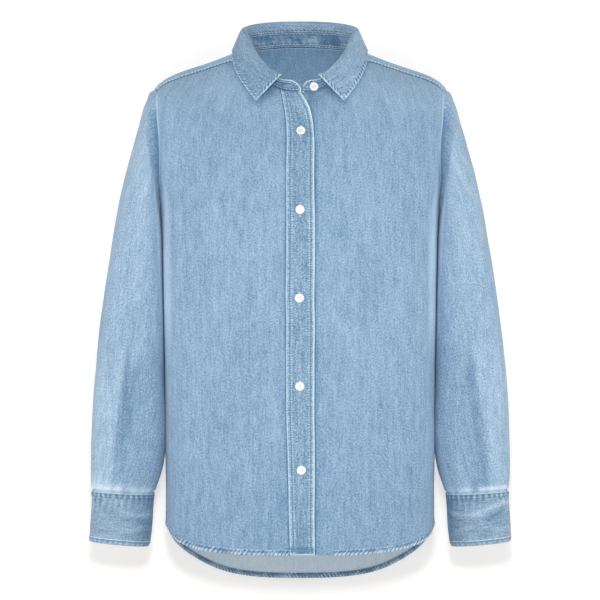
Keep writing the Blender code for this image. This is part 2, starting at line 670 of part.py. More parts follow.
def button(name, seat, outward):
    """A round dished button, turned about its own axis and set on its seat facing outward."""
    mesh = bpy.data.meshes.new(name)
    edges = [(i, i + 1) for i in range(len(BUTTON_PROFILE) - 1)]
    mesh.from_pydata([((BUTTON_RADIUS - inward) * MM, 0, z * MM) for inward, z in BUTTON_PROFILE], edges, [])
    mesh.materials.append(material(name, BUTTON_WHITE))
    piece = bpy.data.objects.new(name, mesh)
    shirt().objects.link(piece)
    turned = piece.modifiers.new("turn", "SCREW")
    turned.steps = turned.render_steps = BUTTON_SIDES
    turned.use_merge_vertices = True
    turned.merge_threshold = MERGE
    outward = unit(np.asarray(outward))
    piece.location = (np.asarray(seat) + outward * SEAM_GAP) * MM
    tilt = math.acos(outward[2])
    heading = math.atan2(outward[1], outward[0])
    piece.rotation_euler = (0, tilt, heading)


def buttons():
    rows = np.linspace(0, HEM_ROW, SAMPLES)
    heights = torso(0, rows)[:, 2]
    lift = CLOTH / 2 + SEAM_GAP + FOLDED
    for name, (x, z) in FRONT_BUTTONS.items():
        row = np.interp(-z, -heights, rows)
        angle = front_angle(x, row)
        button(name, on_torso(angle, row, lift), torso_normal(angle, row))
    angle, height = np.array([STAND_BUTTON_ANGLE]), np.array([STAND_BUTTON_HEIGHT])
    seat = stand_point(angle, height)[0]
    upward = stand_point(angle, height + SMALL)[0] - seat
    outward = unit(np.cross(stand_point(angle + SMALL, height)[0] - seat, upward))
    button("stand_button", seat + outward * (STAND_CLOTH / 2), outward)
    turn, middle = CUFF_LAP / 2, np.array([0.5])
    near = cuff_surface(360 + turn + np.array([-1, 0, 1]), middle)[0]
    outward = unit(np.cross(near[2] - near[0], np.array([0, 0, -1.0])))
    for side, suffix in ((1, "left"), (-1, "right")):
        flip = np.array([side, 1, 1])
        seat = near[1] + outward * (FOLDED / 2 + CUFF_BUTTON_SEAT)
        button(f"cuff_button_{suffix}", seat * flip, outward * flip)


def main():
    for old in list(bpy.data.objects):
        bpy.data.objects.remove(old)
    front_panel(1)
    front_panel(-1)
    back_panel()
    yoke()
    placket()
    stand()
    leaf()
    for side in (1, -1):
        sleeve(side)
        cuff(side)
        sleeve_slit(side)
    buttons()


main()
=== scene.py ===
import math

import bpy
import numpy as np
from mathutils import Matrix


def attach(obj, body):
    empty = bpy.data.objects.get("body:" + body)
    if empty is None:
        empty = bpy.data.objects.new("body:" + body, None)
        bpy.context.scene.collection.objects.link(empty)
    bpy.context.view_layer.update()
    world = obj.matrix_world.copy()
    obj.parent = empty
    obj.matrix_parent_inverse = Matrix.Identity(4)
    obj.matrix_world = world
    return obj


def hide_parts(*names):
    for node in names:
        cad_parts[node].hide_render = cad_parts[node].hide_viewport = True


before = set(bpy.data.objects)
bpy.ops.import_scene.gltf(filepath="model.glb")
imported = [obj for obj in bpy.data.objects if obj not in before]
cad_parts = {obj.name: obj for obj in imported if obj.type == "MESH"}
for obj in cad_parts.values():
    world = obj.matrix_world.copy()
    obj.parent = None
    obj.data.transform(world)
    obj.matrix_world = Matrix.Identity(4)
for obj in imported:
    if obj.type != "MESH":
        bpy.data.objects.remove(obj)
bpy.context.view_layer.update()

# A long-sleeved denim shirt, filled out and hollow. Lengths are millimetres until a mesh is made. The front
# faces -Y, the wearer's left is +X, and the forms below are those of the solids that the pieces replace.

MM = 0.001
SIDES = ((1, "left"), (-1, "right"))   # the wearer's, by the sign of x

# Cloth and seams, in millimetres.
CLOTH = 1.2            # one layer of denim
FOLDED = 2.0           # placket, cuffs and collar leaf, which are two or three layers
STAND_CLOTH = 2.2      # collar stand with its interlining
HEM_CLOTH = 0.7        # one side of the turned hem's flat loop
SEAM_GAP = 0.3         # clear space between two pieces at a seam
ARMHOLE_GAP = 0.9      # space left round the armhole, where two walls meet at an angle

# The torso's rings run from the neck seam to the hem. On each ring the angle starts at the centre front
# and passes the wearer's left side. half_width, front and back reach out from the vertical axis; the three
# heights are those of the ring at the sides, centre front and centre back; corner is the superellipse
# power; front_lift and back_lift say how late the ring's height turns up towards the side. Millimetres.
TORSO_COLUMNS = (
    "half_width", "front", "back", "side_z", "front_z", "back_z", "corner", "front_lift", "back_lift",
)
TORSO_RINGS = {
    "neck": (76, 73, 60, 2, -60, 12, 2.00, 2.4, 2),
    "collar_bone": (104, 82, 73, -9, -78, -1, 2.05, 2, 2),
    "mid_shoulder": (144, 94, 86, -24.6, -106, -24, 2.15, 2, 2),
    "shoulder_tip": (187.5, 106, 97, -48.4, -142, -56, 2.30, 2, 2),
    "upper_armhole": (193, 113, 104, -98, -178, -92, 2.45, 2, 2),
    "lower_armhole": (187, 117, 109, -153, -214, -140, 2.60, 2, 2),
    "armpit": (179, 119, 111, -205, -258, -210, 2.65, 2, 2),
    "ribs": (176, 119, 111, -318, -340, -325, 2.60, 2, 2),
    "waist": (174.5, 117, 110, -428, -436, -440, 2.55, 3, 2),
    "hip": (174.5, 115, 109, -526, -542, -562, 2.50, 4, 3),
    "hem": (175.5, 113, 108, -612, -641, -695, 2.50, 4.4, 3.4),
}
TIP_ROW = list(TORSO_RINGS).index("shoulder_tip")
ARMPIT_ROW = list(TORSO_RINGS).index("armpit")
HEM_ROW = len(TORSO_RINGS) - 1
YOKE_ROW = (TIP_ROW + ARMPIT_ROW) / 2

# Where the seams cross the rings, as angles round the torso in degrees.
SHOULDER_SEAM_AT_NECK = 66
SHOULDER_SEAM_AT_TIP = 79
SIDE_SEAM = 90
ARMHOLE_FRONT = 20     # how far the armhole reaches forward of its middle line
ARMHOLE_BACK = 25      # and back

# Hanging folds of the body: angle and width in degrees, height in millimetres, first and last ring.
FOLD_RISE = 1.5        # a fold grows to its height over this many rings
FOLD_FALL = (-0.3, 0.7)   # and dies away between these distances from its last ring
FOLD_LEFT = 0.6        # to this share of its height
FOLD_COLUMNS = ("angle", "width", "height", "first_row", "last_row")
TORSO_FOLDS = {
    "front_trough": (34, 12, -3.0, 4.5, 10),
    "front_ridge": (55, 11, 2.6, 5.5, 10),
    "side_trough": (74, 8, -1.6, 6.5, 10),
    "back_side_ridge": (118, 11, 3.0, 5.5, 10),
    "back_trough": (139, 10, -4.0, 5.0, 10),
    "back_ridge": (160, 10, 3.0, 4.7, 10),
}

# The button placket laps from the wearer's right front over the left. Its two edges and the hidden edge
# of the left front, as distances from the centre front at each height. Millimetres.
PLACKET_COLUMNS = ("z", "right_edge", "free_edge", "under_edge")
PLACKET = {
    "neck": (-60, -22.5, 2.2, 3.6),
    "first": (-72, -19.6, 9.5, -2.0),
    "second": (-84, -17.4, 14.8, -7.0),
    "third": (-100, -15.8, 17.8, -11.0),
    "chest": (-134, -15.0, 19.6, -13.0),
    "ribs": (-330, -15.8, 19.6, -13.0),
    "hem": (-645, -13.2, 20.0, -13.0),
}
OPEN_LIFT = 9.0        # at the throat the placket's free edge and the stand's end stand this far forward
OPEN_END_Z = -99       # the height where that lift has died away
OPEN_START_X = -24     # and the distance from the centre front where it starts
OPEN_REACH = 1.8       # it grows up to this many times that distance
OPEN_POWER = 1.6       # by this power of it
PLACKET_OVERLAP = 8    # the right front reaches this far under the placket
UNDER_DEPTH = 1.7      # the left front lies this much deeper below the placket
UNDER_START = 24       # where it starts to go deeper, from the centre front
UNDER_END = 14
UNDER_MARGIN = 5       # and never further than this past the placket's free edge

# Sleeve rings, from the armhole down: the outer and inner points in the front view, the ring's middle in
# depth, and how far it reaches forward and back of that. The wearer's left sleeve; the right is mirrored.
SLEEVE_COLUMNS = ("outer_x", "outer_z", "inner_x", "inner_z", "middle_y", "front", "back", "corner")
SLEEVE_RINGS = {
    "cap": (202, -76, 181.8, -210, -5, 57, 54, 2.2),
    "bicep": (216.5, -130, 178, -227, -2, 58, 56, 2.3),
    "upper_arm": (230.5, -184, 175, -256, 2, 57, 56, 2.35),
    "above_elbow": (246.5, -268, 173, -312, 7, 54, 54, 2.4),
    "elbow": (259.5, -350, 172, -370, 10, 51, 52, 2.45),
    "below_elbow": (267, -422, 172, -430, 9, 48, 49, 2.5),
    "forearm": (271, -492, 173, -497, 4, 44, 44, 2.5),
    "gathering": (272, -540, 179, -543, -2, 38, 38, 2.4),
    "cuff_seam": (270.5, -567.5, 188.6, -571.5, -5, 31, 32, 2.3),
}
SLEEVE_FOLDS = {   # angle 0 is the outer side, 90 the front, 180 the inner side
    "shoulder_pinch": (38, 10, -1.6, 0.6, 2.4),
    "front_ridge": (64, 11, 3.4, 5.0, 9),
    "front_trough": (88, 12, -2.0, 4.6, 9),
    "elbow_ridge": (122, 13, 1.6, 4.0, 8),
    "back_trough": (236, 13, -3.0, 3.0, 9),
    "back_ridge": (262, 12, 3.0, 3.5, 8.6),
}
SLEEVE_ROWS = len(SLEEVE_RINGS)
ARMHOLE_START = 1.2    # the sleeve's edge lies this far out of the armhole
ARMHOLE_DROP = 0.15    # and leaves it straight out, falling this much for each unit
LEAVING = 0.7          # the pull of that first curve at its two ends
ARRIVING = 0.8
FLATTEN = (1, 1, 0.3)  # the folds stand out from the arm's middle, mostly level
SLEEVE_CLEAR = 2.0     # the sleeve's middle surface stays this far from the body's side
SLEEVE_PRESS = 3.0     # over this depth it is pressed flat against the body
PRESS_START = -200     # the heights between which the pressing sets in, at the armpit
PRESS_END = -222

# Cuffs: a strip that laps over itself at the back of the wrist.
CUFF_RINGS = {
    "seam": (270.6, -568.4, 188.5, -572.4, -5, 31.2, 32.2, 2.3),
    "middle": (272.0, -601, 191.5, -606.5, -6, 31, 32, 2.3),
    "edge": (272.8, -634, 195.2, -641, -7, 30.5, 31.5, 2.3),
}
CUFF_START = 282       # the under end of the strip, in degrees round the wrist
CUFF_LAP = 40
CUFF_LAYER_STEP = 2.6  # how far the upper end lies outside the under end
SLIT_ANGLE = 300       # the placket over the slit above the cuff: where it lies round the arm, in degrees
SLIT_WIDTH = 24
SLIT_LIFT = 2.0        # it stands this far off the sleeve
SLIT_TOP = 0.70        # and starts at this share of the sleeve's rows

# Collar stand and leaf, one row for each section from the centre back to the leaf's point: the section's
# angle on the neck ring, the stand's top, the crest of the leaf's roll, and where the leaf's outer edge
# lies on the torso.
COLLAR_COLUMNS = (
    "angle", "top_x", "top_y", "top_z", "crest_x", "crest_y", "crest_z", "edge_angle", "edge_row",
)
COLLAR = {
    "back": (180, 0, 57, 34, 0, 61, 46.5, 180, 0.80),
    "back_side": (140, 47, 44, 31, 51, 47, 42.5, 141, 0.70),
    "shoulder": (98, 70, 8, 22, 74, 7, 31.5, 96, 0.42),
    "neck_side": (74, 66, -17, 12, 70, -18, 21, 73.0, 0.52),
    "throat_side": (56, 58, -40, -7, 61, -43, 0.5, 53.2, 0.90),
    "throat": (36, 41, -60, -29, 44, -64.5, -23, 39.2, 1.15),
    "point": (18, 22.5, -70, -41.5, 23.5, -75.5, -36.5, 27.6, 1.39),
    "opening": (0, 0, -76, -42, 0, -82, -39, 17, 1.50),
}
LEAF_LIFT = 4.2        # the leaf's edge lies this far above the yoke and fronts
LEAF_GAP = 0.6         # clear space between the stand's top edge and the leaf
ROLL = 2.6             # how far the roll's handles reach on each side of its crest
STAND_END_COLUMNS = ("angle", "curve", "height", "power")
STAND_ENDS = {         # where the stand ends on the neck ring, and how its top corner is rounded off there
    "right": (-0.6, 12, 0.15, 1.7),
    "left": (2.8, 11, 0.25, 2.4),
}
STAND_START = 0.064    # the stand starts at this share of its height, clear of the neck seam

# Buttons.
BUTTON_RADIUS = 5.7
BUTTON_THICK = 2.4
FRONT_BUTTONS = {     # the x and z of each button's middle
    "front_button_1": (1.6, -109),
    "front_button_2": (0.6, -209.5),
    "front_button_3": (-0.2, -319.5),
    "front_button_4": (0.2, -429.5),
    "front_button_5": (2.2, -534.5),
}
BUTTON_SIDES, BUTTON_RINGS = 48, 34
# The rings of its back, each by its radius and height.
BUTTON_BACK = np.array([(BUTTON_RADIUS, 1.1), (5.3, 0.25), (3.4, 0), (1.2, 0)])
HOLE_OFF = 1.35        # the stitch holes' distance from the button's middle, each way
HOLE_WIDE, HOLE_LONG = 1.15, 8.6   # half a buttonhole
FIRST_BUTTON_DROP = 1.5   # the first button hangs this much lower on the opened placket
STAND_BUTTON_ANGLE = 14
STAND_BUTTON_HEIGHT = 0.5   # as a share of the stand's height
CUFF_BUTTON_SEAT = 0.1   # the flat button stands this much off the round cuff

STAND_END_STEPS = 24
SAMPLES = 400          # for reading a curve the other way round
SMALL = 1e-3           # a step of an angle or a row, small beside any detail


def smooth(knots, at):
    """Rows of knots joined by a natural cubic spline, read at fractional row numbers.

    The second derivatives at the knots solve the usual three-term equations, and each span is then the
    straight line between its knots plus the cubic that those derivatives give.
    """
    knots = np.asarray(knots, float)
    count = len(knots)
    bend = np.zeros_like(knots)
    terms = 4 * np.eye(count - 2) + np.eye(count - 2, k=1) + np.eye(count - 2, k=-1)
    turns = 6 * (knots[2:] - 2 * knots[1:-1] + knots[:-2])
    bend[1:-1] = np.linalg.solve(terms, turns.reshape(count - 2, -1)).reshape(turns.shape)
    at = np.asarray(at, float)
    row = np.clip(np.floor(at).astype(int), 0, count - 2)
    right = (at - row).reshape(at.shape + (1,) * (knots.ndim - 1))
    left = 1 - right
    line = knots[row] * left + knots[row + 1] * right
    return line + (bend[row] * (left**3 - left) + bend[row + 1] * (right**3 - right)) / 6


def ramp(low, high, at):
    """0 below low, 1 above high, with a soft start and end."""
    t = np.clip((np.asarray(at, float) - low) / (high - low), 0, 1)
    return t * t * (3 - 2 * t)


def bell(off, width):
    """1 where off is 0 and less on both sides: e to the power of minus the square of off / width."""
    return np.exp(-((off / width) ** 2))


def named(columns, names):
    """The columns of a table, an array's last axis, by their names."""
    return {name: columns[..., i] for i, name in enumerate(names)}


def corner_reach(sine, cosine, power):
    """How far a superellipse of half width 1 reaches out in a direction."""
    return (np.abs(sine) ** power + np.abs(cosine) ** power) ** (-1 / power)


def folds_at(folds, angle, row):
    """The height of all the folds at an angle in degrees and a row, each a bell across and a ramp along."""
    total = 0
    for name in folds:
        fold = dict(zip(FOLD_COLUMNS, folds[name]))
        across = bell(angle - fold["angle"], fold["width"])
        along = ramp(fold["first_row"], fold["first_row"] + FOLD_RISE, row)
        fade = 1 - ramp(fold["last_row"] + FOLD_FALL[0], fold["last_row"] + FOLD_FALL[1], row)
        total = total + fold["height"] * across * along * np.maximum(fade, FOLD_LEFT)
    return total


def torso(angle, row):
    """The body's surface at an angle in degrees and a ring row, as an array ending in x, y, z."""
    angle, row = np.broadcast_arrays(np.asarray(angle, float), np.asarray(row, float))
    ring = named(smooth(list(TORSO_RINGS.values()), row), TORSO_COLUMNS)
    sine, cosine = np.sin(np.radians(angle)), np.cos(np.radians(angle))
    is_front = cosine > 0
    reach = corner_reach(sine, cosine, ring["corner"])
    from_front = np.degrees(np.arccos(np.clip(cosine, -1, 1)))
    fold = folds_at(TORSO_FOLDS, from_front, row)
    depth = np.where(is_front, ring["front"], ring["back"])
    middle_z = np.where(is_front, ring["front_z"], ring["back_z"])
    lift = np.abs(sine) ** np.where(is_front, ring["front_lift"], ring["back_lift"])
    x = (ring["half_width"] * reach + fold) * sine
    y = -(depth * reach + fold) * cosine
    z = middle_z + (ring["side_z"] - middle_z) * lift
    return np.stack([x, y, z], axis=-1)


def unit(vectors):
    """The same directions with a length of 1."""
    return vectors / np.linalg.norm(vectors, axis=-1, keepdims=True)


def torso_normal(angle, row):
    """The outward direction of the body's surface."""
    row = np.clip(np.asarray(row, float), SMALL, HEM_ROW - SMALL)
    along = torso(angle, row + SMALL) - torso(angle, row - SMALL)
    round_it = torso(np.asarray(angle) + SMALL, row) - torso(np.asarray(angle) - SMALL, row)
    return unit(np.cross(along, round_it))


def on_torso(angle, row, lift):
    """A point of the body's surface, moved out by lift millimetres."""
    lift = np.broadcast_to(np.asarray(lift, float), np.broadcast(angle, row).shape)
    return torso(angle, row) + torso_normal(angle, row) * lift[..., None]


def armhole_edge(row, side):
    """The armhole's angle at a row: side -1 is its front edge and 1 its back edge."""
    height = (np.asarray(row, float) - YOKE_ROW) / (ARMPIT_ROW - YOKE_ROW)
    width = np.sqrt(np.clip(1 - height**2, 0, 1))
    middle = SHOULDER_SEAM_AT_TIP + (SIDE_SEAM - SHOULDER_SEAM_AT_TIP) * (height + 1) / 2
    reach = ARMHOLE_FRONT if side < 0 else ARMHOLE_BACK
    return middle + side * reach * width


def panel_edge(row, side):
    """The angle where a panel ends at a row: at the shoulder seam, then the armhole, then the side seam."""
    seam = SHOULDER_SEAM_AT_NECK + (SHOULDER_SEAM_AT_TIP - SHOULDER_SEAM_AT_NECK) * row / TIP_ROW
    hole = armhole_edge(row, side)
    return np.where(row < TIP_ROW, seam, np.where(row < ARMPIT_ROW, hole, SIDE_SEAM))


def half_width(row):
    """How far a ring reaches out to each side."""
    return smooth(list(TORSO_RINGS.values()), row)[..., 0]


def degrees_for(gap, row):
    """The angle that a gap in millimetres takes up on a ring."""
    return np.degrees(gap / half_width(row))


def front_angle(x, row):
    """The angle at which a ring's front lies at x, by halving the interval."""
    low, high = np.full(np.shape(row), -40.0), np.full(np.shape(row), 40.0)
    for _ in range(40):
        middle = (low + high) / 2
        too_far = torso(middle, row)[..., 0] > x
        high = np.where(too_far, middle, high)
        low = np.where(too_far, low, middle)
    return low


def placket_line(column, row):
    """The x of one of the placket's lines at each row, read from its table by height."""
    table = np.array(list(PLACKET.values()), float)[::-1]
    z = torso(0, row)[..., 2]
    knot = np.interp(z, table[:, 0], np.arange(len(table)))
    return smooth(table, knot)[..., PLACKET_COLUMNS.index(column)]


def torso_grid(rows, start, end, columns):
    """A panel's angles from start to end at each row, its rows, and its points on the body's form."""
    share = np.linspace(0, 1, columns + 1)
    angle = start[:, None] + (end - start)[:, None] * share
    row = np.broadcast_to(rows[:, None], angle.shape)
    return angle, row, torso(angle, row)


def opened(points):
    """The placket's and the stand's points near the open throat, moved forward towards the free edge."""
    x, y, z = np.moveaxis(points, -1, 0)
    reach = np.clip((x - OPEN_START_X) / -OPEN_START_X, 0, OPEN_REACH)
    height = ramp(OPEN_END_Z, PLACKET["neck"][0], z) * (y < 0)
    return points - np.stack([0 * x, OPEN_LIFT * reach**OPEN_POWER * height, 0 * x], axis=-1)


def armhole_curve(turn):
    """The armhole's edge at turns in radians, from its top down the front and up the back."""
    row = YOKE_ROW - (ARMPIT_ROW - YOKE_ROW) * np.cos(turn)
    is_front = np.sin(turn) >= 0
    return torso(np.where(is_front, armhole_edge(row, -1), armhole_edge(row, 1)), row)


def ring_centre(sizes):
    """The middle of a ring round the arm."""
    ring = dict(zip(SLEEVE_COLUMNS, sizes))
    x = (ring["outer_x"] + ring["inner_x"]) / 2
    z = (ring["outer_z"] + ring["inner_z"]) / 2
    return np.array([x, ring["middle_y"], z])


def arm_ring(sizes, turn):
    """One ring round the arm from a table row: angle 0 outside, 90 degrees in front."""
    ring = dict(zip(SLEEVE_COLUMNS, sizes))
    sine, cosine = np.sin(turn), np.cos(turn)
    reach = corner_reach(sine, cosine, ring["corner"])
    middle_x, middle_y, middle_z = ring_centre(sizes)
    depth = np.where(sine > 0, ring["front"], ring["back"])
    x = middle_x + (ring["outer_x"] - ring["inner_x"]) / 2 * reach * cosine
    y = middle_y - depth * reach * sine
    z = middle_z + (ring["outer_z"] - ring["inner_z"]) / 2 * reach * cosine
    return np.stack([x, y, z], axis=-1)


def body_side(y, z):
    """How far out the body's left side reaches at a depth and height, from the ring of that height."""
    columns = np.array(list(TORSO_RINGS.values()), float)
    heights = columns[:, TORSO_COLUMNS.index("side_z")]
    row = np.interp(-z, -heights, np.arange(len(heights)))
    ring = named(smooth(columns, row), TORSO_COLUMNS)
    depth = np.clip(np.abs(y) / np.where(y < 0, ring["front"], ring["back"]), 0, 1)
    power = ring["corner"]
    width = (1 - depth**power) ** (1 / power)
    angle = np.degrees(np.arctan2(width, np.where(y < 0, depth, -depth)))
    return ring["half_width"] * width + folds_at(TORSO_FOLDS, angle, row) * width


def out_of_armhole(turn, rings, row):
    """The sleeve's first span: a curve that leaves the armhole straight out and runs into the rings."""
    start = armhole_curve(turn) + np.array([ARMHOLE_START, 0, 0])
    end = rings[0]
    reach = np.linalg.norm(end - start, axis=-1, keepdims=True)
    leaving = unit(np.array([1, 0, -ARMHOLE_DROP])) * reach * LEAVING
    arriving = unit(smooth(rings, np.array([SMALL]))[0] - end) * reach * ARRIVING
    t = row[:, None, None]
    return (
        start * (1 + 2 * t) * (1 - t) ** 2
        + leaving * t * (1 - t) ** 2
        + end * t**2 * (3 - 2 * t)
        + arriving * t**2 * (t - 1)
    )


def sleeve_points(turn, row):
    """The left sleeve at turns in radians and rows: out of the armhole, down the rings, clear of the body."""
    rings = np.stack([arm_ring(sizes, turn) for sizes in SLEEVE_RINGS.values()])
    first = out_of_armhole(turn, rings, row[row < 1])
    points = np.concatenate([first, smooth(rings, row[row >= 1] - 1)])
    centre = points.mean(axis=1, keepdims=True)
    outward = unit((points - centre) * FLATTEN)
    points = points + outward * folds_at(SLEEVE_FOLDS, np.degrees(turn)[None, :], row[:, None])[..., None]
    x, y, z = np.moveaxis(points, -1, 0)
    wall = body_side(y, z) + SLEEVE_CLEAR
    pressed = (x + wall + np.sqrt((x - wall) ** 2 + SLEEVE_PRESS**2)) / 2
    below_armpit = ramp(-PRESS_START, -PRESS_END, -z)
    return np.stack([x + (pressed - x) * below_armpit, y, z], axis=-1)


def cuff_surface(turn, down):
    """The cuff's point at an angle in degrees past its under end and a share of its height."""
    rings = np.stack([arm_ring(sizes, np.radians(CUFF_START + turn)) for sizes in CUFF_RINGS.values()])
    points = smooth(rings, down * (len(rings) - 1))
    centre = smooth([ring_centre(sizes) for sizes in CUFF_RINGS.values()], down * (len(rings) - 1))
    outward = points - centre[:, None]
    step = CUFF_LAYER_STEP * (ramp(0, 360 + CUFF_LAP, turn) - 0.5)
    return points + unit(outward) * step[None, :, None]


def collar_section(angle):
    """The collar's sizes at ring angles, read from its table by how far round the angle lies."""
    table = np.array(list(COLLAR.values()), float)
    past_back = table[1] * [1, -1, 1, 1, -1, 1, 1, 1, 1]
    past_back[[0, 7]] = 360 - table[1][[0, 7]]
    table = np.concatenate([past_back[None], table])
    away = np.abs(np.asarray(angle, float))
    fine = np.linspace(0, len(table) - 1, SAMPLES)
    knot = np.interp(-away, -smooth(table, fine)[:, 0], fine)
    return named(smooth(table, knot), COLLAR_COLUMNS)


def section_point(section, kind, side):
    """One of the section's named points, on the side of the body that the angle's sign gives."""
    x, y, z = (section[f"{kind}_{axis}"] for axis in "xyz")
    return np.stack([x * side, y, z], axis=-1)


def stand_point(angle, share):
    """A point of the stand at a ring angle, and a share of the way from the neck seam to its top edge."""
    base = torso(angle, 0)
    top = section_point(collar_section(angle), "top", np.where(np.asarray(angle) < 0, -1, 1))
    share = STAND_START + (1 - STAND_START) * np.asarray(share, float)
    return base + (top - base) * share[..., None]


def bezier(start, first, second, end, t):
    """A cubic curve between two points with two handles."""
    return start * (1 - t) ** 3 + 3 * first * t * (1 - t) ** 2 + 3 * second * t**2 * (1 - t) + end * t**3


def leaf_points(angle, climb, fall):
    """The collar leaf: up from the stand's top to its roll line at climb, then down to its edge at fall."""
    section = collar_section(angle)
    side = np.where(angle < 0, -1, 1)
    top = stand_point(angle, np.ones_like(angle))
    upward = unit(top - stand_point(angle, np.zeros_like(angle)))
    joint = (top + upward * LEAF_GAP)[None]
    crest = section_point(section, "crest", side)[None]
    edge = on_torso(section["edge_angle"] * side, section["edge_row"], LEAF_LIFT)[None]
    rise = np.linalg.norm(crest - joint, axis=-1, keepdims=True)
    outward = unit((crest - joint) * np.array([1, 1, 0]))
    falling = unit(edge - crest)
    drop = np.linalg.norm(edge - crest, axis=-1, keepdims=True)
    climb, fall = climb[:, None, None], fall[:, None, None]
    inner = bezier(joint, joint + upward * rise * 0.5, crest - outward * ROLL, crest, climb)
    outer = bezier(crest, crest + outward * ROLL, edge - falling * drop * 0.5, edge, fall)
    return np.concatenate([inner, outer])


# How finely the pieces are divided.
TIP_STEPS, ARMHOLE_STEPS, HEM_STEPS = 44, 84, 176
FRONT_STEPS, YOKE_STEPS, BACK_STEPS = 84, 170, 150
PLACKET_STEPS, PLACKET_DOWN = 30, 420
SLEEVE_STEPS, CAP_STEPS, ARM_STEPS = 116, 40, 196
CUFF_STEPS, CUFF_DOWN = 200, 44
LEAF_STEPS, CLIMB_STEPS, FALL_STEPS = 230, 10, 34
STAND_STEPS, STAND_UP = 150, 18

# Sewing.
TUCK = 2.4             # how far an edge runs on under the piece that is sewn over it
TUCK_DEPTH = 1.5       # and how much deeper it lies there
TUCK_REACH = 4.0
RIDGE = 0.5            # the piece on top stands this proud along its seam
HEM_DEPTH = 6.0
HEM_SLANT = 0.9        # its ropes lean this far along for each millimetre up
HEM_PROFILE = np.array([   # up from the edge, out of the cloth, and down below the edge
    (HEM_DEPTH, 5.6, 5.2, 4.6, 3.8, 3.0, 2.2, 1.4, 0.7, 0.2, 0, 0, 0.4, 1.6, 3.2, 4.8, HEM_DEPTH),
    (0.85, 1.0, 1.1, 1.15, 1.2, 1.25, 1.25, 1.2, 1.15, 1.0, 0.7, -0.7, -1.1, -1.15, -1.15, -1.15, -1.1),
    (0, 0, 0, 0, 0, 0, 0, 0, 0, 0.3, 0.75, 0.75, 0, 0, 0, 0, 0),
])
STITCH = 2.5           # a stitch's length
STITCH_PITCH = 3.1
THREAD = 0.26          # half a stitch's width
NO_SEAM = 900.0        # the seam map's distance where no stitched edge is near
STITCH_AT = 6          # and where a stitch line lies, whatever its real distance
CUFF_TOP_AT = 14       # and where a cuff's top edge lies, to tell it from the others
YOKE_STITCH = 5.0      # how far each topstitching lies from its edge
SIDE_STITCH = 7.0
EDGE_STITCH = 1.7
HEM_STITCH = 6.8
UNDER_STITCH = 24.5    # the left front's own row, which shows at the open throat
UNDER_ROWS = 80        # and ends at this row of its grid
PLACKET_STITCH = 5.4
LEAF_STITCH = 3.6
STAND_STITCH = 3.2
CUFF_STITCH = 4.6
SLIT_STITCH = 3.0

CAP_SHIFT = 2.3        # the sleeve's edge lies this far inside the armhole
CAP_SUNK = 0.9         # and this much below its form
CAP_RAISED = 1.1       # less this much at its top
INTO_CUFF = 0.13       # the sleeve runs on into its cuff, by this share of a ring's spacing
SEAT_GAP = 0.3         # clear space under a front button
BAND_SHIFT = 1.6       # the placket lies this much towards the wearer's right
BUTTON_SHIFT = 0.5     # and its buttons this much

# Painted shadow on the fronts: along the collar leaf's edge, by its x and z there, in a band of
# this width, and in a patch at the top of the placket, by its place and its half sizes.
LEAF_EDGE = ((87, -10), (54, -71), (23, -39))
LEAF_SHADE = 7
PLACKET_SHADE = (14, -60, 8, 13)

# Where each piece is cut from the cloth: its first map starts at this many millimetres, and the left and
# right pieces lie apart by twice the second number.
CUT_AT = {
    "front": (0, 700), "yoke": (2600, 0), "back": (3900, 0), "placket": (5200, 0), "sleeve": (6500, 900),
    "cuff": (9000, 600), "slit": (11000, 500), "stand": (12500, 0), "leaf": (14000, 0),
}

NET = 64               # cells each way in the net of random numbers
# Slow swells of the cloth: each one's height, its lengths across and along, and its seed.
FRONT_SWELLS = ((1.5, 105, 140, 3), (0.75, 44, 62, 4), (0.28, 18, 25, 5))
BACK_SWELLS = ((1.6, 110, 150, 13), (0.8, 46, 64, 14), (0.28, 19, 26, 15))
SLEEVE_SWELLS = ((1.3, 4, 95), (0.7, 8, 42), (0.25, 18, 19))   # height, waves round the arm, length along

# Creases, given one by one: where each starts and ends in the front view, how far it bows and sways off its
# straight line, its width on the side away from +X and towards it, and its height.
CREASE_COLUMNS = ("x0", "z0", "x1", "z1", "bow", "sway", "near", "far", "height")
FRONT_CREASES = {
    "right_hip_ridge": (-108, -312, -143, -560, -4, 0, 6, 13, 1.7),
    "right_hip_trough": (-96, -300, -120, -520, -5, 2, 12, 10, -1.2),
    "left_hip_ridge": (118, -372, 148, -560, 2, 1, 13, 6, 1.7),
    "left_hip_trough": (101, -330, 126, -530, 3, 2, 10, 12, -1.2),
    "right_drag": (-150, -214, -92, -262, 5, 0, 9, 14, 1.1),
    "left_drag": (152, -220, 100, -272, -4, 0, 14, 9, 1.0),
    "right_chest": (-66, -150, -74, -300, 4, 2, 16, 11, 0.8),
    "left_chest": (70, -170, 62, -340, -3, 2, 12, 18, 0.8),
    "right_waist": (-58, -400, -66, -600, 3, -2, 12, 16, -0.9),
    "left_waist": (60, -380, 72, -610, -3, 2, 17, 12, -0.9),
    "left_low": (96, -480, 104, -636, 2, 0, 12, 9, 0.9),
    "right_low": (-88, -500, -96, -638, -2, 0, 9, 12, 0.9),
}
BACK_CREASES = {
    "right_blade": (-132, -196, -70, -250, 6, 0, 12, 9, 1.4),
    "left_blade": (128, -190, 74, -258, -6, 0, 9, 12, 1.3),
    "middle_fall": (-14, -230, -22, -560, 5, 3, 15, 11, 1.4),
    "right_fall": (-58, -280, -76, -600, -5, 3, 12, 16, -1.6),
    "left_fall": (52, -300, 66, -640, 5, -2, 15, 12, -1.5),
    "right_hip": (-104, -330, -128, -610, -4, 2, 9, 15, 1.7),
    "left_hip": (100, -350, 124, -590, 4, 2, 15, 9, 1.6),
    "waist_break": (-96, -402, -20, -420, -6, 0, 7, 10, 0.9),
    "left_break": (30, -436, 104, -414, -5, 0, 9, 7, 0.8),
}
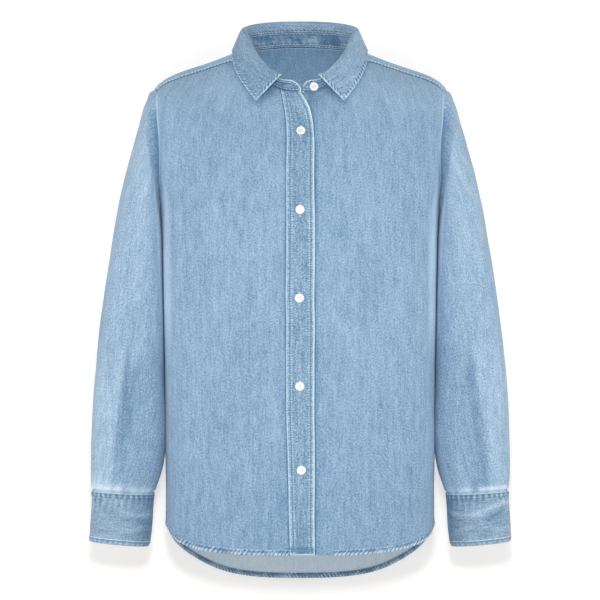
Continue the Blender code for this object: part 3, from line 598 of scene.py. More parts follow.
# The sleeves' creases, as distances from the body's middle, on the front and the back of each arm.
SLEEVE_CREASES = {
    "right_front": {
        "bend_ridge": (217, -350, 243, -560, 1.5, 1, 4.5, 15, 3.8),
        "bend_trough": (209, -384, 226, -530, 0, 2, 13, 8, -2.6),
        "hook": (192, -378, 219, -430, 3, 0, 5, 8, 1.5),
        "elbow_line": (215, -332, 218, -362, 0, 0, 6, 8, 1.2),
        "inner_line": (201, -376, 210, -442, 1, 0, 6, 9, 1.1),
        "upper_fall": (205, -150, 222, -300, -4, 0, 14, 18, -1.2),
        "tip_pinch": (186, -70, 204, -112, 2, 0, 4, 7, -1.1),
        "gather_a": (222, -505, 228, -566, 1, 0, 5, 6, -1.3),
        "gather_b": (241, -520, 244, -566, 0, 0, 5, 5, 1.2),
        "gather_c": (204, -520, 209, -566, 0, 0, 5, 6, 1.2),
        "gather_d": (255, -515, 257, -566, 0, 0, 5, 5, -1.1),
    },
    "left_front": {
        "bend_ridge": (216, -344, 242, -560, 2.0, -1, 4.5, 15, 3.7),
        "bend_trough": (208, -378, 225, -530, 0, 2, 13, 8, -2.5),
        "hook": (193, -370, 217, -424, 3, 0, 5, 8, 1.4),
        "elbow_line": (208, -318, 217, -340, 0, 0, 6, 8, 1.2),
        "inner_line": (196, -392, 203, -470, 1, 0, 6, 9, 1.0),
        "upper_fall": (208, -160, 226, -290, -3, 1, 15, 18, -1.2),
        "tip_pinch": (187, -68, 203, -108, 2, 0, 4, 7, -1.1),
        "gather_a": (218, -510, 224, -566, 1, 0, 5, 6, -1.3),
        "gather_b": (237, -520, 240, -566, 0, 0, 5, 5, 1.2),
        "gather_c": (201, -515, 206, -566, 0, 0, 5, 6, 1.2),
        "gather_d": (252, -522, 254, -566, 0, 0, 5, 5, -1.1),
    },
    "right_back": {
        "elbow_break": (262, -342, 206, -366, 7, 0, 8, 11, 2.0),
        "under_elbow": (256, -384, 200, -400, -6, 0, 10, 8, 1.5),
        "long_fall": (214, -170, 226, -330, 4, 2, 13, 16, -1.6),
        "low_fall": (228, -420, 240, -556, 3, 2, 9, 14, 2.0),
        "gather_a": (216, -510, 222, -566, 1, 0, 5, 6, 1.4),
        "gather_b": (234, -516, 238, -566, 0, 0, 5, 5, -1.2),
    },
    "left_back": {
        "elbow_break": (258, -350, 208, -368, 6, 0, 11, 8, 1.9),
        "under_elbow": (254, -392, 204, -404, -5, 0, 8, 10, 1.4),
        "long_fall": (210, -180, 228, -322, 4, 1, 15, 13, -1.5),
        "low_fall": (224, -430, 238, -556, 3, 2, 9, 14, 1.9),
        "gather_a": (213, -512, 219, -566, 1, 0, 5, 6, 1.4),
        "gather_b": (231, -518, 236, -566, 0, 0, 5, 5, -1.2),
    },
}
# Small folds across a cuff, by the turn round it in degrees and the height in it, in millimetres.
CUFF_CREASES = {
    "first": (10, -14, 120, -27, 2, 2, 3, 4, 1.1),
    "second": (60, -30, 170, -20, -2, 1, 4, 3, 1.0),
    "third": (215, -20, 290, -32, 3, 0, 6, 9, 0.8),
    "fourth": (0, -46, 80, -52, 2, 0, 4, 4, 0.8),
    "fifth": (30, -21, 90, -38, 1, 1, 3, 4, -0.9),
    "sixth": (95, -42, 165, -50, -1, 1, 4, 3, 0.7),
}


def spline_weights(t):
    """What the four net points nearest to a place add to it, times 6: the cubic B-spline's pieces."""
    return (1 - t) ** 3, 3 * t**3 - 6 * t**2 + 4, 3 * (t + t**2 - t**3) + 1, t**3


def drift(across, along, seed, wrap=NET):
    """Soft uneven heights, about -1 to 1: random numbers on a net of unit cells, joined by cubic B-splines.

    The net comes round again after wrap cells across and NET cells along.
    """
    across, along = np.broadcast_arrays(np.asarray(across, float), np.asarray(along, float))
    net = np.random.default_rng(seed).uniform(-2.2, 2.2, (wrap, NET))
    column, row = np.floor(across).astype(int), np.floor(along).astype(int)
    total = np.zeros(across.shape)
    for i, p in enumerate(spline_weights(across - column)):
        for j, q in enumerate(spline_weights(along - row)):
            total += p * q / 36 * net[(column + i - 1) % wrap, (row + j - 1) % NET]
    return total


def creases(x, z, table):
    """The height of the creases: a bell across each line, uneven on its two sides, tapered at both ends.

    The line is the straight one from start to end, moved sideways by the bow, a parabola, and the sway, a
    whole sine wave.
    """
    total = np.zeros(np.broadcast(x, z).shape)
    for line in table.values():
        crease = dict(zip(CREASE_COLUMNS, line))
        off, along = beside(x, z, crease)
        across_it = bell(off, np.where(off > 0, crease["far"], crease["near"]))
        total += crease["height"] * across_it * ramp(0, 0.3, along) * (1 - ramp(0.72, 1, along))
    return total


def beside(x, z, crease):
    """How far a point lies from a crease's line towards +X, and its share of the way along the line."""
    step_x, step_z = crease["x1"] - crease["x0"], crease["z1"] - crease["z0"]
    length = math.hypot(step_x, step_z)
    along = ((x - crease["x0"]) * step_x + (z - crease["z0"]) * step_z) / length**2
    off = ((z - crease["z0"]) * step_x - (x - crease["x0"]) * step_z) / length
    return off - crease["bow"] * 4 * along * (1 - along) - crease["sway"] * np.sin(2 * np.pi * along), along


def pucker(run, away, wave, height, reach, seed):
    """Little gathers beside a stitch line, none at the line itself and most at a reach from it.

    A sine along the run whose phase and height wander with drift, times away / reach * exp(1 - away / reach).
    """
    swing = run / wave + 0.3 * drift(run / (1.7 * wave), away / (2 * reach), seed)
    uneven = 0.65 + 0.45 * drift(run / (2.6 * wave), 0 * run, seed + 1)
    return height * uneven * np.sin(2 * np.pi * swing) * away / reach * np.exp(1 - away / reach)


def walk(points, axis):
    """The distance along a grid's columns (axis 0) or rows (axis 1) from its first point."""
    step = np.linalg.norm(np.diff(points[..., :3], axis=axis), axis=-1)
    before = [(0, 0), (0, 0)]
    before[axis] = (1, 0)
    return np.pad(np.cumsum(step, axis=axis), before)


def from_middle(points):
    """The distance along a grid's rows from their middles."""
    over = walk(points, 1)
    return over - over[:, -1:] / 2


def place(name, side=0):
    """Where a piece's first map starts on the cloth."""
    start, apart = CUT_AT[name]
    return start + apart * side


def borders(points):
    """For each of a grid's four borders, the run along it and the distance away from it."""
    down, over = walk(points, 0), walk(points, 1)
    return {
        "left": (down, over),
        "right": (down, over[:, -1:] - over),
        "top": (over, down),
        "bottom": (over, down[-1:] - down),
    }


def nearest(edges, names):
    """The run along and distance from the nearest of some borders."""
    run, away = (np.stack([edges[name][i] for name in names]) for i in (0, 1))
    pick = away.argmin(axis=0)[None]
    return np.take_along_axis(run, pick, 0)[0], np.take_along_axis(away, pick, 0)[0]


def normals(points, closed=False):
    """The outward directions of a grid, from the cross product of its steps down and across."""
    down = np.gradient(points, axis=0)
    if closed:
        ahead = np.roll(points, -1, axis=1) - np.roll(points, 1, axis=1)
    else:
        ahead = np.gradient(points, axis=1)
    return unit(np.cross(down, ahead))


def line_at(grid, border, distance):
    """The points at a distance in from one border of a grid, between the two grid points on each side."""
    axis = 1 if border in ("left", "right") else 0
    inward = grid if border in ("left", "top") else np.flip(grid, axis)
    run = np.moveaxis(walk(inward, axis), axis, 0)
    inward = np.moveaxis(inward, axis, 0)
    after = np.clip((run < distance).sum(axis=0), 1, len(run) - 1)
    pick = np.arange(run.shape[1])
    low, high = run[after - 1, pick], run[after, pick]
    share = ((distance - low) / (high - low))[:, None]
    return inward[after - 1, pick] * (1 - share) + inward[after, pick] * share


# ---------------------------------------------------------------------------------------- meshes


def new_piece(name, points, faces, looks):
    """Points in millimetres and faces as a smooth mesh that rides the body and wears some looks."""
    mesh = bpy.data.meshes.new(name)
    mesh.from_pydata(points * MM, [], faces)
    mesh.shade_smooth()
    for look in looks:
        mesh.materials.append(look)
    piece = bpy.data.objects.new(name, mesh)
    bpy.context.scene.collection.objects.link(piece)
    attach(piece, "root")
    return piece


def sew(name, points, looks, thickness, cloth, seam=None, worn=None, closed=False):
    """A grid of points in millimetres as a mesh with the cloth's thickness.

    cloth and seam are its two UV maps, in millimetres here and metres in the mesh. A closed grid joins its
    last column to its first, and its maps have one column more than its points.
    """
    index = np.arange(points[..., 0].size).reshape(points.shape[:2])
    faces = corners(wrapped(index) if closed else index)
    piece = new_piece(name, points.reshape(-1, 3), faces.tolist(), looks)
    mesh = piece.data
    if seam is None:
        seam = np.full(cloth.shape, NO_SEAM)
    for title, flat in (("cloth", cloth), ("seam", seam)):
        on_faces = corners(np.arange(flat[..., 0].size).reshape(flat.shape[:2]))
        layer = mesh.uv_layers.new(name=title)
        layer.data.foreach_set("uv", (flat.reshape(-1, 2)[on_faces.ravel()] * MM).ravel())
    mark = mesh.attributes.new("worn", "FLOAT", "POINT")
    mark.data.foreach_set("value", (np.zeros(index.size) if worn is None else worn).ravel())
    wall = piece.modifiers.new("wall", "SOLIDIFY")
    wall.thickness = thickness * MM
    wall.offset = 0
    wall.material_offset = len(looks) - 1
    wall.material_offset_rim = 0
    return piece


def panel(node, points, looks, thickness, cloth, seam, worn=None, closed=False):
    """The cloth that takes a solid's place, and its grid with the outward direction after each point."""
    piece = sew(f"{node}_cloth", points, looks, thickness, cloth, seam, worn, closed)
    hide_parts(node)
    return piece, np.concatenate([points, normals(points, closed)], axis=-1)


def corners(index):
    """The four corners of each face of a grid of numbers, turned so that the faces point outwards."""
    four = (index[:-1, :-1], index[1:, :-1], index[1:, 1:], index[:-1, 1:])
    return np.stack(four, axis=-1).reshape(-1, 4)


def pair(u, v):
    """Two grids as one of pairs, for a UV map."""
    return np.stack(np.broadcast_arrays(u, v), axis=-1)


def wrapped(values):
    """A closed grid's values with its first column again after its last."""
    return np.concatenate([values, values[:, :1]], axis=1)


def stitches(name, lines, look):
    """Sewing stitches along some lines, each a short bent thread of three square rings and two points.

    A line is a path of points, the directions out of the cloth there, and how far out the thread lies.
    """
    made, count = [], 0
    for path, outward, lift in lines:
        run = walk(path[None], 1)[0]
        starts = np.arange(STITCH_PITCH, run[-1] - STITCH_PITCH, STITCH_PITCH)
        at = starts[:, None] + np.array([0, 0.5, 1]) * STITCH
        centre, out = (
            np.stack([np.interp(at, run, way[:, i]) for i in range(3)], axis=-1) for way in (path, outward)
        )
        ahead = unit(centre[:, 2:] - centre[:, :1])
        sideways = unit(np.cross(ahead, unit(out)))
        out = np.cross(sideways, ahead)
        rise = np.array([-0.02, 0.14, -0.02])[None, :, None]
        size = np.array([0.75, 1, 0.75])[None, :, None] * THREAD
        middle = centre + out * (lift + rise)
        rings = [middle + sideways * size, middle + out * size, middle - sideways * size, middle - out * size]
        rings = np.stack(rings, axis=2).reshape(len(starts), 12, 3)
        tips = centre[:, [0, 2]] + out[:, [0, 2]] * (lift - 0.22)
        tips = tips + ahead * np.array([-0.3, 0.3])[None, :, None]
        made.append(np.concatenate([rings, tips], axis=1))
        count += len(starts)
    quads = corners(wrapped(np.arange(12).reshape(3, 4)))
    ends = [(12, i, (i + 1) % 4) for i in range(4)] + [(13, 8 + (i + 1) % 4, 8 + i) for i in range(4)]
    first = 14 * np.arange(count)[:, None, None]
    faces = (quads + first).reshape(-1, 4).tolist() + (np.array(ends) + first).reshape(-1, 3).tolist()
    return new_piece(name, np.concatenate(made).reshape(-1, 3), faces, [look])


def seam_line(grid, border, distance, lift, trim=(0, 0), inside=False):
    """A line for stitches beside a border, on the outside of the cloth or the inside."""
    line = line_at(grid, border, distance)
    line = line[trim[0]: len(line) - trim[1]]
    return line[:, :3], -line[:, 3:] if inside else line[:, 3:], lift


# ------------------------------------------------------------------------------------- materials


def add(tree, kind, inputs=None, **settings):
    """A new node with some settings and inputs."""
    made = tree.nodes.new(kind)
    for name, value in settings.items():
        setattr(made, name, value)
    fill(tree, made, inputs or {})
    return made


def fill(tree, node, inputs):
    """Link a node's input where its value is another node's socket, and set it where it isn't."""
    for name, value in inputs.items():
        if isinstance(value, bpy.types.NodeSocket):
            tree.links.new(value, node.inputs[name])
        else:
            node.inputs[name].default_value = value


def new_look(name):
    """A new material with its node tree and its shader."""
    made = bpy.data.materials.new(name)
    made.use_nodes = True
    return made, made.node_tree, made.node_tree.nodes["Principled BSDF"]


def maths(tree, operation, *values):
    """The result of a math node on some values."""
    return add(tree, "ShaderNodeMath", dict(enumerate(values)), operation=operation).outputs[0]


def mixed(tree, share, low, high):
    """A colour between two, which are sockets or three numbers each."""
    low, high = (end if isinstance(end, bpy.types.NodeSocket) else (*end, 1) for end in (low, high))
    return add(tree, "ShaderNodeMix", {0: share, 6: low, 7: high}, data_type="RGBA").outputs[2]


def turned(tree, vector, degrees):
    """A map turned round by some degrees."""
    rotation = (0, 0, math.radians(degrees))
    return add(tree, "ShaderNodeMapping", {"Vector": vector, "Rotation": rotation}).outputs[0]


def sum_of(tree, start, parts):
    """start plus each part's value times its weight."""
    total = start
    for value, weight in parts:
        total = maths(tree, "MULTIPLY_ADD", value, weight, total)
    return total


def noise(tree, vector, across, along, detail, rough, seed):
    """Noise with so many cells in a metre across and along."""
    inputs = {"Vector": vector, "Location": (seed, seed, 0), "Scale": (across, along, 1)}
    sized = add(tree, "ShaderNodeMapping", inputs)
    cells = {"Vector": sized.outputs[0], "Scale": 1.0, "Detail": detail, "Roughness": rough}
    return add(tree, "ShaderNodeTexNoise", cells, noise_dimensions="2D").outputs[0]


# Beside a seam, by the distance from it in metres where its stitches lie at 6 mm: how much paler than 0.5 the
# cloth is (EDGE), and how strongly it is dashed (ROPE) and beaded (BEADS).
SEAM_EDGE = (
    (0.0, 1.0), (0.0014, 0.98), (0.0026, 0.55), (0.0044, 0.50), (0.0053, 0.14), (0.0066, 0.12),
    (0.0076, 0.55), (0.0092, 0.50),
)
SEAM_ROPE = ((0.0, 0.30), (0.0012, 0.55), (0.0040, 1.0), (0.0062, 0.9), (0.0085, 0.25), (0.0110, 0.0))
SEAM_BEADS = ((0.0, 0.15), (0.0014, 0.45), (0.0030, 1.0), (0.0066, 1.0), (0.0086, 0.3), (0.0110, 0.0))
# The same beside an edge that lies on the cloth at 6 mm: a painted shadow, a dark line just outside the
# edge.
PAINTED_EDGE_SHADOW = ((0.0, 0.5), (0.0050, 0.50), (0.0056, 0.02), (0.0070, 0.06), (0.0082, 0.44), (0.0110, 0.50))
BAND_EDGE = (
    (0.0, 0.88), (0.0009, 0.88), (0.0018, 0.58), (0.0044, 0.54), (0.0050, 0.04), (0.0062, 0.04),
    (0.0068, 0.66), (0.0078, 0.62), (0.0090, 0.46),
)
BAND_BEADS = ((0.0, 0.15), (0.0042, 0.25), (0.0050, 0.9), (0.0076, 0.9), (0.0090, 0.15), (0.0110, 0.0))
YOKE_EDGE = ((0.0, 0.85), (0.0030, 0.80), (0.0045, 0.48), (0.0053, 0.30), (0.0066, 0.30), (0.0076, 0.50))
YOKE_BEADS = ((0.0, 0.7), (0.0010, 1.0), (0.0045, 1.0), (0.0070, 0.3), (0.0090, 0.0))
STAND_EDGE = (
    (0.0, 1.0), (0.0016, 0.90), (0.0024, 0.45), (0.0032, 0.04), (0.0046, 0.04), (0.0054, 0.75),
    (0.0068, 0.80), (0.0078, 0.20), (0.0092, 0.20), (0.0104, 0.50),
)
# A cuff's top edge starts at 14 mm: a bright edge, its stitch line, and gathers below them.
CUFF_EDGE = (
    (0.0, 0.62), (0.0048, 0.56), (0.0056, 0.02), (0.0068, 0.02), (0.0075, 0.98), (0.0086, 0.94),
    (0.0096, 0.50), (0.0135, 0.50), (0.0140, 0.85), (0.0143, 1.15), (0.0151, 1.15), (0.0154, 0.0),
    (0.0162, 0.0), (0.0167, 0.48),
)
CUFF_BEADS = (
    (0.0, 0.15), (0.0040, 0.3), (0.0090, 0.15), (0.0100, 0.0), (0.0135, 0.0), (0.0150, 0.5), (0.0165, 1.0),
    (0.0190, 0.8), (0.0225, 0.0),
)
SEAM_REACH = 0.025     # the tables reach this far


def profile(tree, away, stops):
    """A value read from some stops by the distance from the seam, straight between them."""
    share = maths(tree, "MULTIPLY", away, 1 / SEAM_REACH)
    band = add(tree, "ShaderNodeValToRGB", {0: share})
    steps = band.color_ramp.elements
    while len(steps) < len(stops):
        steps.new(0.5)
    for step, (at, value) in zip(steps, stops):
        step.position = at / SEAM_REACH
        step.color = (value, value, value, 1)
    return band.outputs[0]


BARE_YARN = (0.71, 0.87, 0.96)   # the colour of yarn whose dye is rubbed off
# The cloth's noises: cells for each metre across and along, detail, roughness, seed and weight in the
# colour.
NOISES = {
    "clouds": (16.0, 8.0, 2.0, 0.5, 0.0, 0.26),
    "mottles": (75.0, 40.0, 2.0, 0.6, 3.0, 0.42),
    "slubs": (430.0, 60.0, 2.0, 0.6, 7.0, 0.62),
    "streaks": (150.0, 12.0, 2.0, 0.55, 11.0, 0.40),
    "weft": (330.0, 760.0, 1.0, 0.5, 17.0, 0.9),
    "grain": (620.0, 480.0, 2.0, 0.7, 23.0, 1.5),
}
WEFT_SLANT = 40        # degrees
TWILL_SLANT = 27
WAVE_SCALE = 314.16    # a wave texture's scale where its stripes are 1 mm apart


def denim(
    name, deep, pale, middle=0.5, wear=0.45, contrast=1.0, rope=1.8, beads=0.7, pitch=5.4, edges=SEAM_EDGE,
    band=SEAM_BEADS, line=1.0, slant=0.9,
):
    """Washed denim: clouds, mottles, long warp slubs, short weft slubs and grain, over a fine twill.

    The mix from deep to pale is middle plus the weighted noises times contrast, plus wear times the worn
    attribute, plus the seam's own dashes times rope, waves times beads and edge times line. Above 1 it goes
    on to bare yarn. The seam map gives the run along the nearest seam and the distance from it; pitch is
    the waves' length in millimetres and slant how far they lean along for each unit away.
    """
    made, tree, shader = new_look(name)
    cloth = add(tree, "ShaderNodeUVMap", uv_map="cloth").outputs[0]
    seam = add(tree, "ShaderNodeUVMap", uv_map="seam").outputs[0]
    worn = add(tree, "ShaderNodeAttribute", attribute_name="worn").outputs["Fac"]
    values = {}
    for kind, row in NOISES.items():
        lying = turned(tree, cloth, WEFT_SLANT) if kind == "weft" else cloth
        values[kind] = noise(tree, lying, *row[:-1])
    split = add(tree, "ShaderNodeSeparateXYZ", {0: seam})
    away = split.outputs[1]
    sheared = maths(tree, "MULTIPLY_ADD", away, slant, split.outputs[0])
    slanted = add(tree, "ShaderNodeCombineXYZ", {0: sheared, 1: away}).outputs[0]
    dashes = noise(tree, slanted, 210.0, 90.0, 1.0, 0.6, 31.0)
    waves = {"Vector": slanted, "Scale": WAVE_SCALE / pitch, "Distortion": 1.8, "Detail": 1.0}
    bead = maths(tree, "ADD", add(tree, "ShaderNodeTexWave", waves).outputs[1], -0.5)
    beaded = maths(tree, "MULTIPLY", bead, profile(tree, away, band))
    edge = profile(tree, away, edges)
    dashed = maths(tree, "ADD", dashes, -0.5)
    sewn = maths(tree, "MULTIPLY", dashed, profile(tree, away, SEAM_ROPE))
    parts = [(values[kind], NOISES[kind][-1] * contrast) for kind in NOISES]
    start = middle - 0.5 * contrast * sum(row[-1] for row in NOISES.values()) - 0.5 * line
    level = sum_of(tree, start, parts + [(worn, wear), (sewn, rope), (beaded, beads), (edge, line)])
    share = add(tree, "ShaderNodeClamp", {"Value": level}).outputs[0]
    dyed = mixed(tree, share, deep, pale)
    bare = add(tree, "ShaderNodeMapRange", {"Value": level, "From Min": 1.0, "From Max": 2.0}).outputs[0]
    colour = mixed(tree, bare, dyed, BARE_YARN)
    lying = turned(tree, cloth, TWILL_SLANT)
    ribs = {"Vector": lying, "Scale": 390.0, "Distortion": 0.6, "Detail": 1.0}
    twill = add(tree, "ShaderNodeTexWave", ribs)
    yarns = [(twill.outputs[1], 0.35), (values["grain"], 0.8), (values["slubs"], 0.8), (sewn, 1.2)]
    height = sum_of(tree, 0.0, yarns)
    bump = add(tree, "ShaderNodeBump", {"Strength": 0.55, "Distance": 0.0004, "Height": height}).outputs[0]
    rough = sum_of(tree, 0.72, [(values["mottles"], 0.16), (values["grain"], 0.1)])
    fill(tree, shader, {
        "Base Color": colour, "Normal": bump, "Roughness": rough, "Specular IOR Level": 0.22,
        "Sheen Weight": 0.3, "Sheen Roughness": 0.45, "Sheen Tint": (0.86, 0.93, 1.0, 1),
    })
    return made


def clouded_look(name, deep, pale, scale, detail, rough, more):
    """One colour clouded with another by noise, which also changes the roughness; more sets other inputs."""
    made, tree, shader = new_look(name)
    spot = add(tree, "ShaderNodeTexCoord").outputs["Object"]
    cloud = add(tree, "ShaderNodeTexNoise", {"Vector": spot, "Scale": scale, "Detail": detail}).outputs[0]
    colour, roughness = mixed(tree, cloud, deep, pale), sum_of(tree, rough[0], [(cloud, rough[1])])
    fill(tree, shader, {"Base Color": colour, "Roughness": roughness, **more})
    return made


def thread_look(name, deep, pale):
    """Sewing thread with a little twist in its colour."""
    return clouded_look(name, deep, pale, 320.0, 2.0, (0.4, 0.3), {"Sheen Weight": 0.2})


def button_look():
    """White shirt button: a faintly clouded glossy plastic."""
    deep, pale = (0.86, 0.88, 0.87), (0.98, 0.98, 0.94)
    shine = {"Coat Weight": 0.3, "Coat Roughness": 0.12}
    return clouded_look("white_button", deep, pale, 170.0, 3.0, (0.16, 0.2), shine)


# ------------------------------------------------------------------------------------- the body


def ring_rows():
    """The rows of the body's panels, closest together where the armhole curves and at the hem."""
    to_tip = np.linspace(0, TIP_ROW, TIP_STEPS + 1)
    turn = np.linspace(0, math.pi, ARMHOLE_STEPS + 1)
    armhole = YOKE_ROW - (ARMPIT_ROW - YOKE_ROW) * np.cos(turn)
    share = np.linspace(0, 1, HEM_STEPS + 1)
    to_hem = ARMPIT_ROW + (HEM_ROW - ARMPIT_ROW) * (share + 0.09 * np.sin(np.pi * share) * share)
    return np.concatenate([to_tip, armhole[1:], to_hem[1:]])


def away_from_edge(angle, row, side):
    """How far a point of the body lies inside the panel's edge, in millimetres."""
    from_front = np.abs(angle)
    per_degree = half_width(row) * math.radians(1)
    turned_by = np.where(from_front > 180, 360 - from_front, from_front)
    return np.abs(panel_edge(row, side) - turned_by) * per_degree


def painted_crevice_light(sideways, z):
    """Painted light where sleeve and body face each other: a ramp on the normal's sideways part, times two on
    height.
    """
    return ramp(0.80, 0.96, sideways) * ramp(150, 200, -z) * (1 - ramp(330, 420, -z))


def painted_collar_shadow(x, z):
    """How near the cloth lies to the collar leaf's edge: a bell of the distance from that edge's two sides.

    It is painted shadow: the cloth is darker there, under the leaf's edge, and also beside the top of the
    button placket.
    """
    near = np.full(np.shape(x), 1e3)
    for (x0, z0), (x1, z1) in zip(LEAF_EDGE, LEAF_EDGE[1:]):
        from_x, from_z, step_x, step_z = np.abs(x) - x0, z - z0, x1 - x0, z1 - z0
        along = np.clip((from_x * step_x + from_z * step_z) / (step_x**2 + step_z**2), 0, 1)
        near = np.minimum(near, np.hypot(from_x - along * step_x, from_z - along * step_z))
    middle_x, middle_z, wide, high = PLACKET_SHADE
    corner = np.exp(-(((x - middle_x) / wide) ** 2) - ((z - middle_z) / high) ** 2)
    return bell(near, LEAF_SHADE) + 0.7 * corner


def aside(z):
    """How far the placket's left edge swings over towards the hem."""
    return 2.4 * ramp(450, 640, -z)


def drawn_in(x, z):
    """How far the sides are drawn in towards the hem: one ramp down the side, one across to it."""
    return 2.1 * ramp(490, 590, -z) * ramp(120, 168, np.abs(x))


def swells(x, z, table):
    """The sum of some slow swells, each a drift with a size of its own."""
    return sum(height * drift(x / across, z / along, seed) for height, across, along, seed in table)


def freedom(angle, row, side):
    """How free the cloth is of the panel's edge: a ramp of the distance from it, longer below the armpit."""
    below = ramp(ARMPIT_ROW - 1, ARMPIT_ROW, row)
    edge = away_from_edge(angle, row, side)
    return ramp(2, 30, edge) * (1 - below) + ramp(8, 70, edge) * below


def front_relief(angle, row):
    """How far the fronts stand off their smooth form: slow swells and the creases, none at the seams."""
    x, _, z = np.moveaxis(torso(angle, row), -1, 0)
    total = swells(x, z, FRONT_SWELLS) + creases(x, z, FRONT_CREASES)
    quiet = 0.3 + 0.7 * ramp(20, 48, np.abs(x))
    return total * quiet * freedom(angle, row, -1) * ramp(0.9, 2.4, row) - drawn_in(x, z)


def back_relief(angle, row):
    """The same for the yoke and the back."""
    x, _, z = np.moveaxis(torso(angle, row), -1, 0)
    total = swells(x, z, BACK_SWELLS) + creases(x, z, BACK_CREASES)
    seam = 1 - 0.75 * bell(row - YOKE_ROW, 0.35)
    return total * freedom(angle, row, 1) * seam * ramp(1.1, 2.4, row) - drawn_in(x, z)


def panel_side(rows, side, over):
    """Where a panel ends: run on under its neighbour, or just meeting it, and a bit short at the armhole."""
    at_hole = ramp(TIP_ROW - 0.06, TIP_ROW, rows) * (1 - ramp(ARMPIT_ROW, ARMPIT_ROW + 0.06, rows))
    beyond = 0.0 if over else TUCK
    out = beyond * (1 - at_hole) - ARMHOLE_GAP / 2 * at_hole
    return panel_edge(rows, side) - side * degrees_for(out, rows)


def tucked(away):
    """How deep an edge lies under its neighbour, at a distance from the edge."""
    return -TUCK_DEPTH * (1 - ramp(TUCK * 0.7, TUCK + TUCK_REACH, away))


def fronts(looks):
    """The two fronts: from the placket out to the shoulder seam, armhole and side seam."""
    made = {}
    for side, name in SIDES:
        rows = ring_rows()
        rows[0] += SMALL
        if side > 0:
            inner = front_angle(placket_line("under_edge", rows), rows)
        else:
            inner = -front_angle(placket_line("right_edge", rows) + PLACKET_OVERLAP, rows)
        outer = panel_side(rows, -1, False)
        angle, row, base = torso_grid(rows, inner * side, outer * side, FRONT_STEPS)
        lift = front_relief(angle, row)
        if side > 0:
            start = np.minimum(UNDER_START, placket_line("free_edge", rows) + UNDER_MARGIN)[:, None]
            lift = lift - UNDER_DEPTH * ramp(0, 1, (start - base[..., 0]) / (UNDER_START - UNDER_END))
        else:
            angle, row, lift, base = (grid[:, ::-1] for grid in (angle, row, lift, base))
        edges = borders(base)
        run, away = edges["right" if side > 0 else "left"]
        sewn = ramp(ARMPIT_ROW + 0.02, ARMPIT_ROW + 0.1, row) + (1 - ramp(TIP_ROW - 0.1, TIP_ROW - 0.02, row))
        lift = lift + tucked(away) * sewn + pucker(run, away, 11, 0.32, 5, 41 + side) * ramp(0.6, 1.5, row)
        lift = lift + pucker(*edges["bottom"], 13, 0.35, 9, 47 + side)
        outward = torso_normal(angle, row)
        points = base + outward * lift[..., None]
        over = walk(base, 1)
        u = over + base[:, :1, 0] if side > 0 else over - over[:, -1:] + base[:, -1:, 0]
        v = -base[..., 2] + 0.6 * np.abs(base[..., 1])
        # Pale at the armhole's seam, painted light in the crevice behind the arm and high up near the
        # shoulder, painted shadow by the collar, and darker low down.
        at_hole = ramp(TIP_ROW, TIP_ROW + 0.1, row) * (1 - ramp(ARMPIT_ROW - 0.9, ARMPIT_ROW - 0.2, row))
        worn = 3.2 * bell(away, 3.0) * at_hole + 1.2 * painted_crevice_light(outward[..., 0] * side, base[..., 2])
        low = -base[..., 2]
        worn = worn - painted_collar_shadow(base[..., 0], -low) - 0.12 * ramp(380, 560, low)
        worn = worn + 0.34 * (1 - ramp(45, 105, low))
        # The seam map's distance is that from the placket's edge or from the yoke, whichever is nearer;
        # the front's look paints a shadow line just outside each edge.
        free = placket_line("free_edge" if side > 0 else "right_edge", rows)[:, None]
        swing = 0 if side > 0 else aside(points[..., 2])
        past_band = (points[..., 0] - free + BAND_SHIFT - swing) * side
        past_yoke = (away - TUCK) * 0.5 + NO_SEAM * ramp(TIP_ROW, TIP_ROW + 0.1, row)
        seam = pair(0 * run, STITCH_AT + np.minimum(past_band, past_yoke))
        cloth = pair(u + place("front", side), v)
        both = (looks["front"], looks["wrong"])
        made[f"front_{name}"] = panel(f"front_{name}", points, both, CLOTH, cloth, seam, worn)
    return made


def yoke(looks):
    """The yoke, from the front shoulder seams over the shoulders to the seam across the back."""
    rows = ring_rows()
    rows = rows[rows <= YOKE_ROW + SMALL]
    rows[0] += SMALL
    edge = panel_side(rows, 1, True)
    angle, row, base = torso_grid(rows, edge, 360 - edge, YOKE_STEPS)
    run, away = nearest(borders(base), ("left", "right", "bottom"))
    in_seam = 1 - ramp(TIP_ROW - 0.2, TIP_ROW, row) * (1 - ramp(YOKE_ROW - 0.3, YOKE_ROW - 0.1, row))
    lift = back_relief(angle, row) + RIDGE * bell(away, 3.5) * in_seam
    lift = lift + pucker(run, away, 10, 0.3, 5, 51) * ramp(0.4, 0.8, row)
    points = base + torso_normal(angle, row) * lift[..., None]
    cloth = pair(from_middle(base) + place("yoke"), walk(base, 0))
    seam = pair(run, away * STITCH_AT / YOKE_STITCH)
    return panel("yoke", points, (looks["yoke"], looks["lining"]), CLOTH, cloth, seam)


def back_panel(looks):
    """The back, from under the yoke seam to the long tail."""
    rows = ring_rows()
    rows = np.concatenate([[YOKE_ROW - 0.055], rows[rows >= YOKE_ROW - SMALL]])
    edge = panel_side(rows, 1, True)
    angle, row, base = torso_grid(rows, edge, 360 - edge, BACK_STEPS)
    edges = borders(base)
    run, away = nearest(edges, ("left", "right"))
    below = ramp(ARMPIT_ROW, ARMPIT_ROW + 0.1, row)
    lift = back_relief(angle, row) + RIDGE * bell(away, 3.5) * below
    lift = lift + tucked(edges["top"][1]) + pucker(run, away, 11, 0.3, 5, 61)
    lift = lift + pucker(*edges["top"], 12, 0.35, 8, 63) + pucker(*edges["bottom"], 13, 0.35, 9, 65)
    points = base + torso_normal(angle, row) * lift[..., None]
    cloth = pair(from_middle(base) + place("back"), -base[..., 2])
    seam = pair(run, away * STITCH_AT / SIDE_STITCH + NO_SEAM * (1 - below))
    return panel("back", points, (looks["face"], looks["wrong"]), CLOTH, cloth, seam)


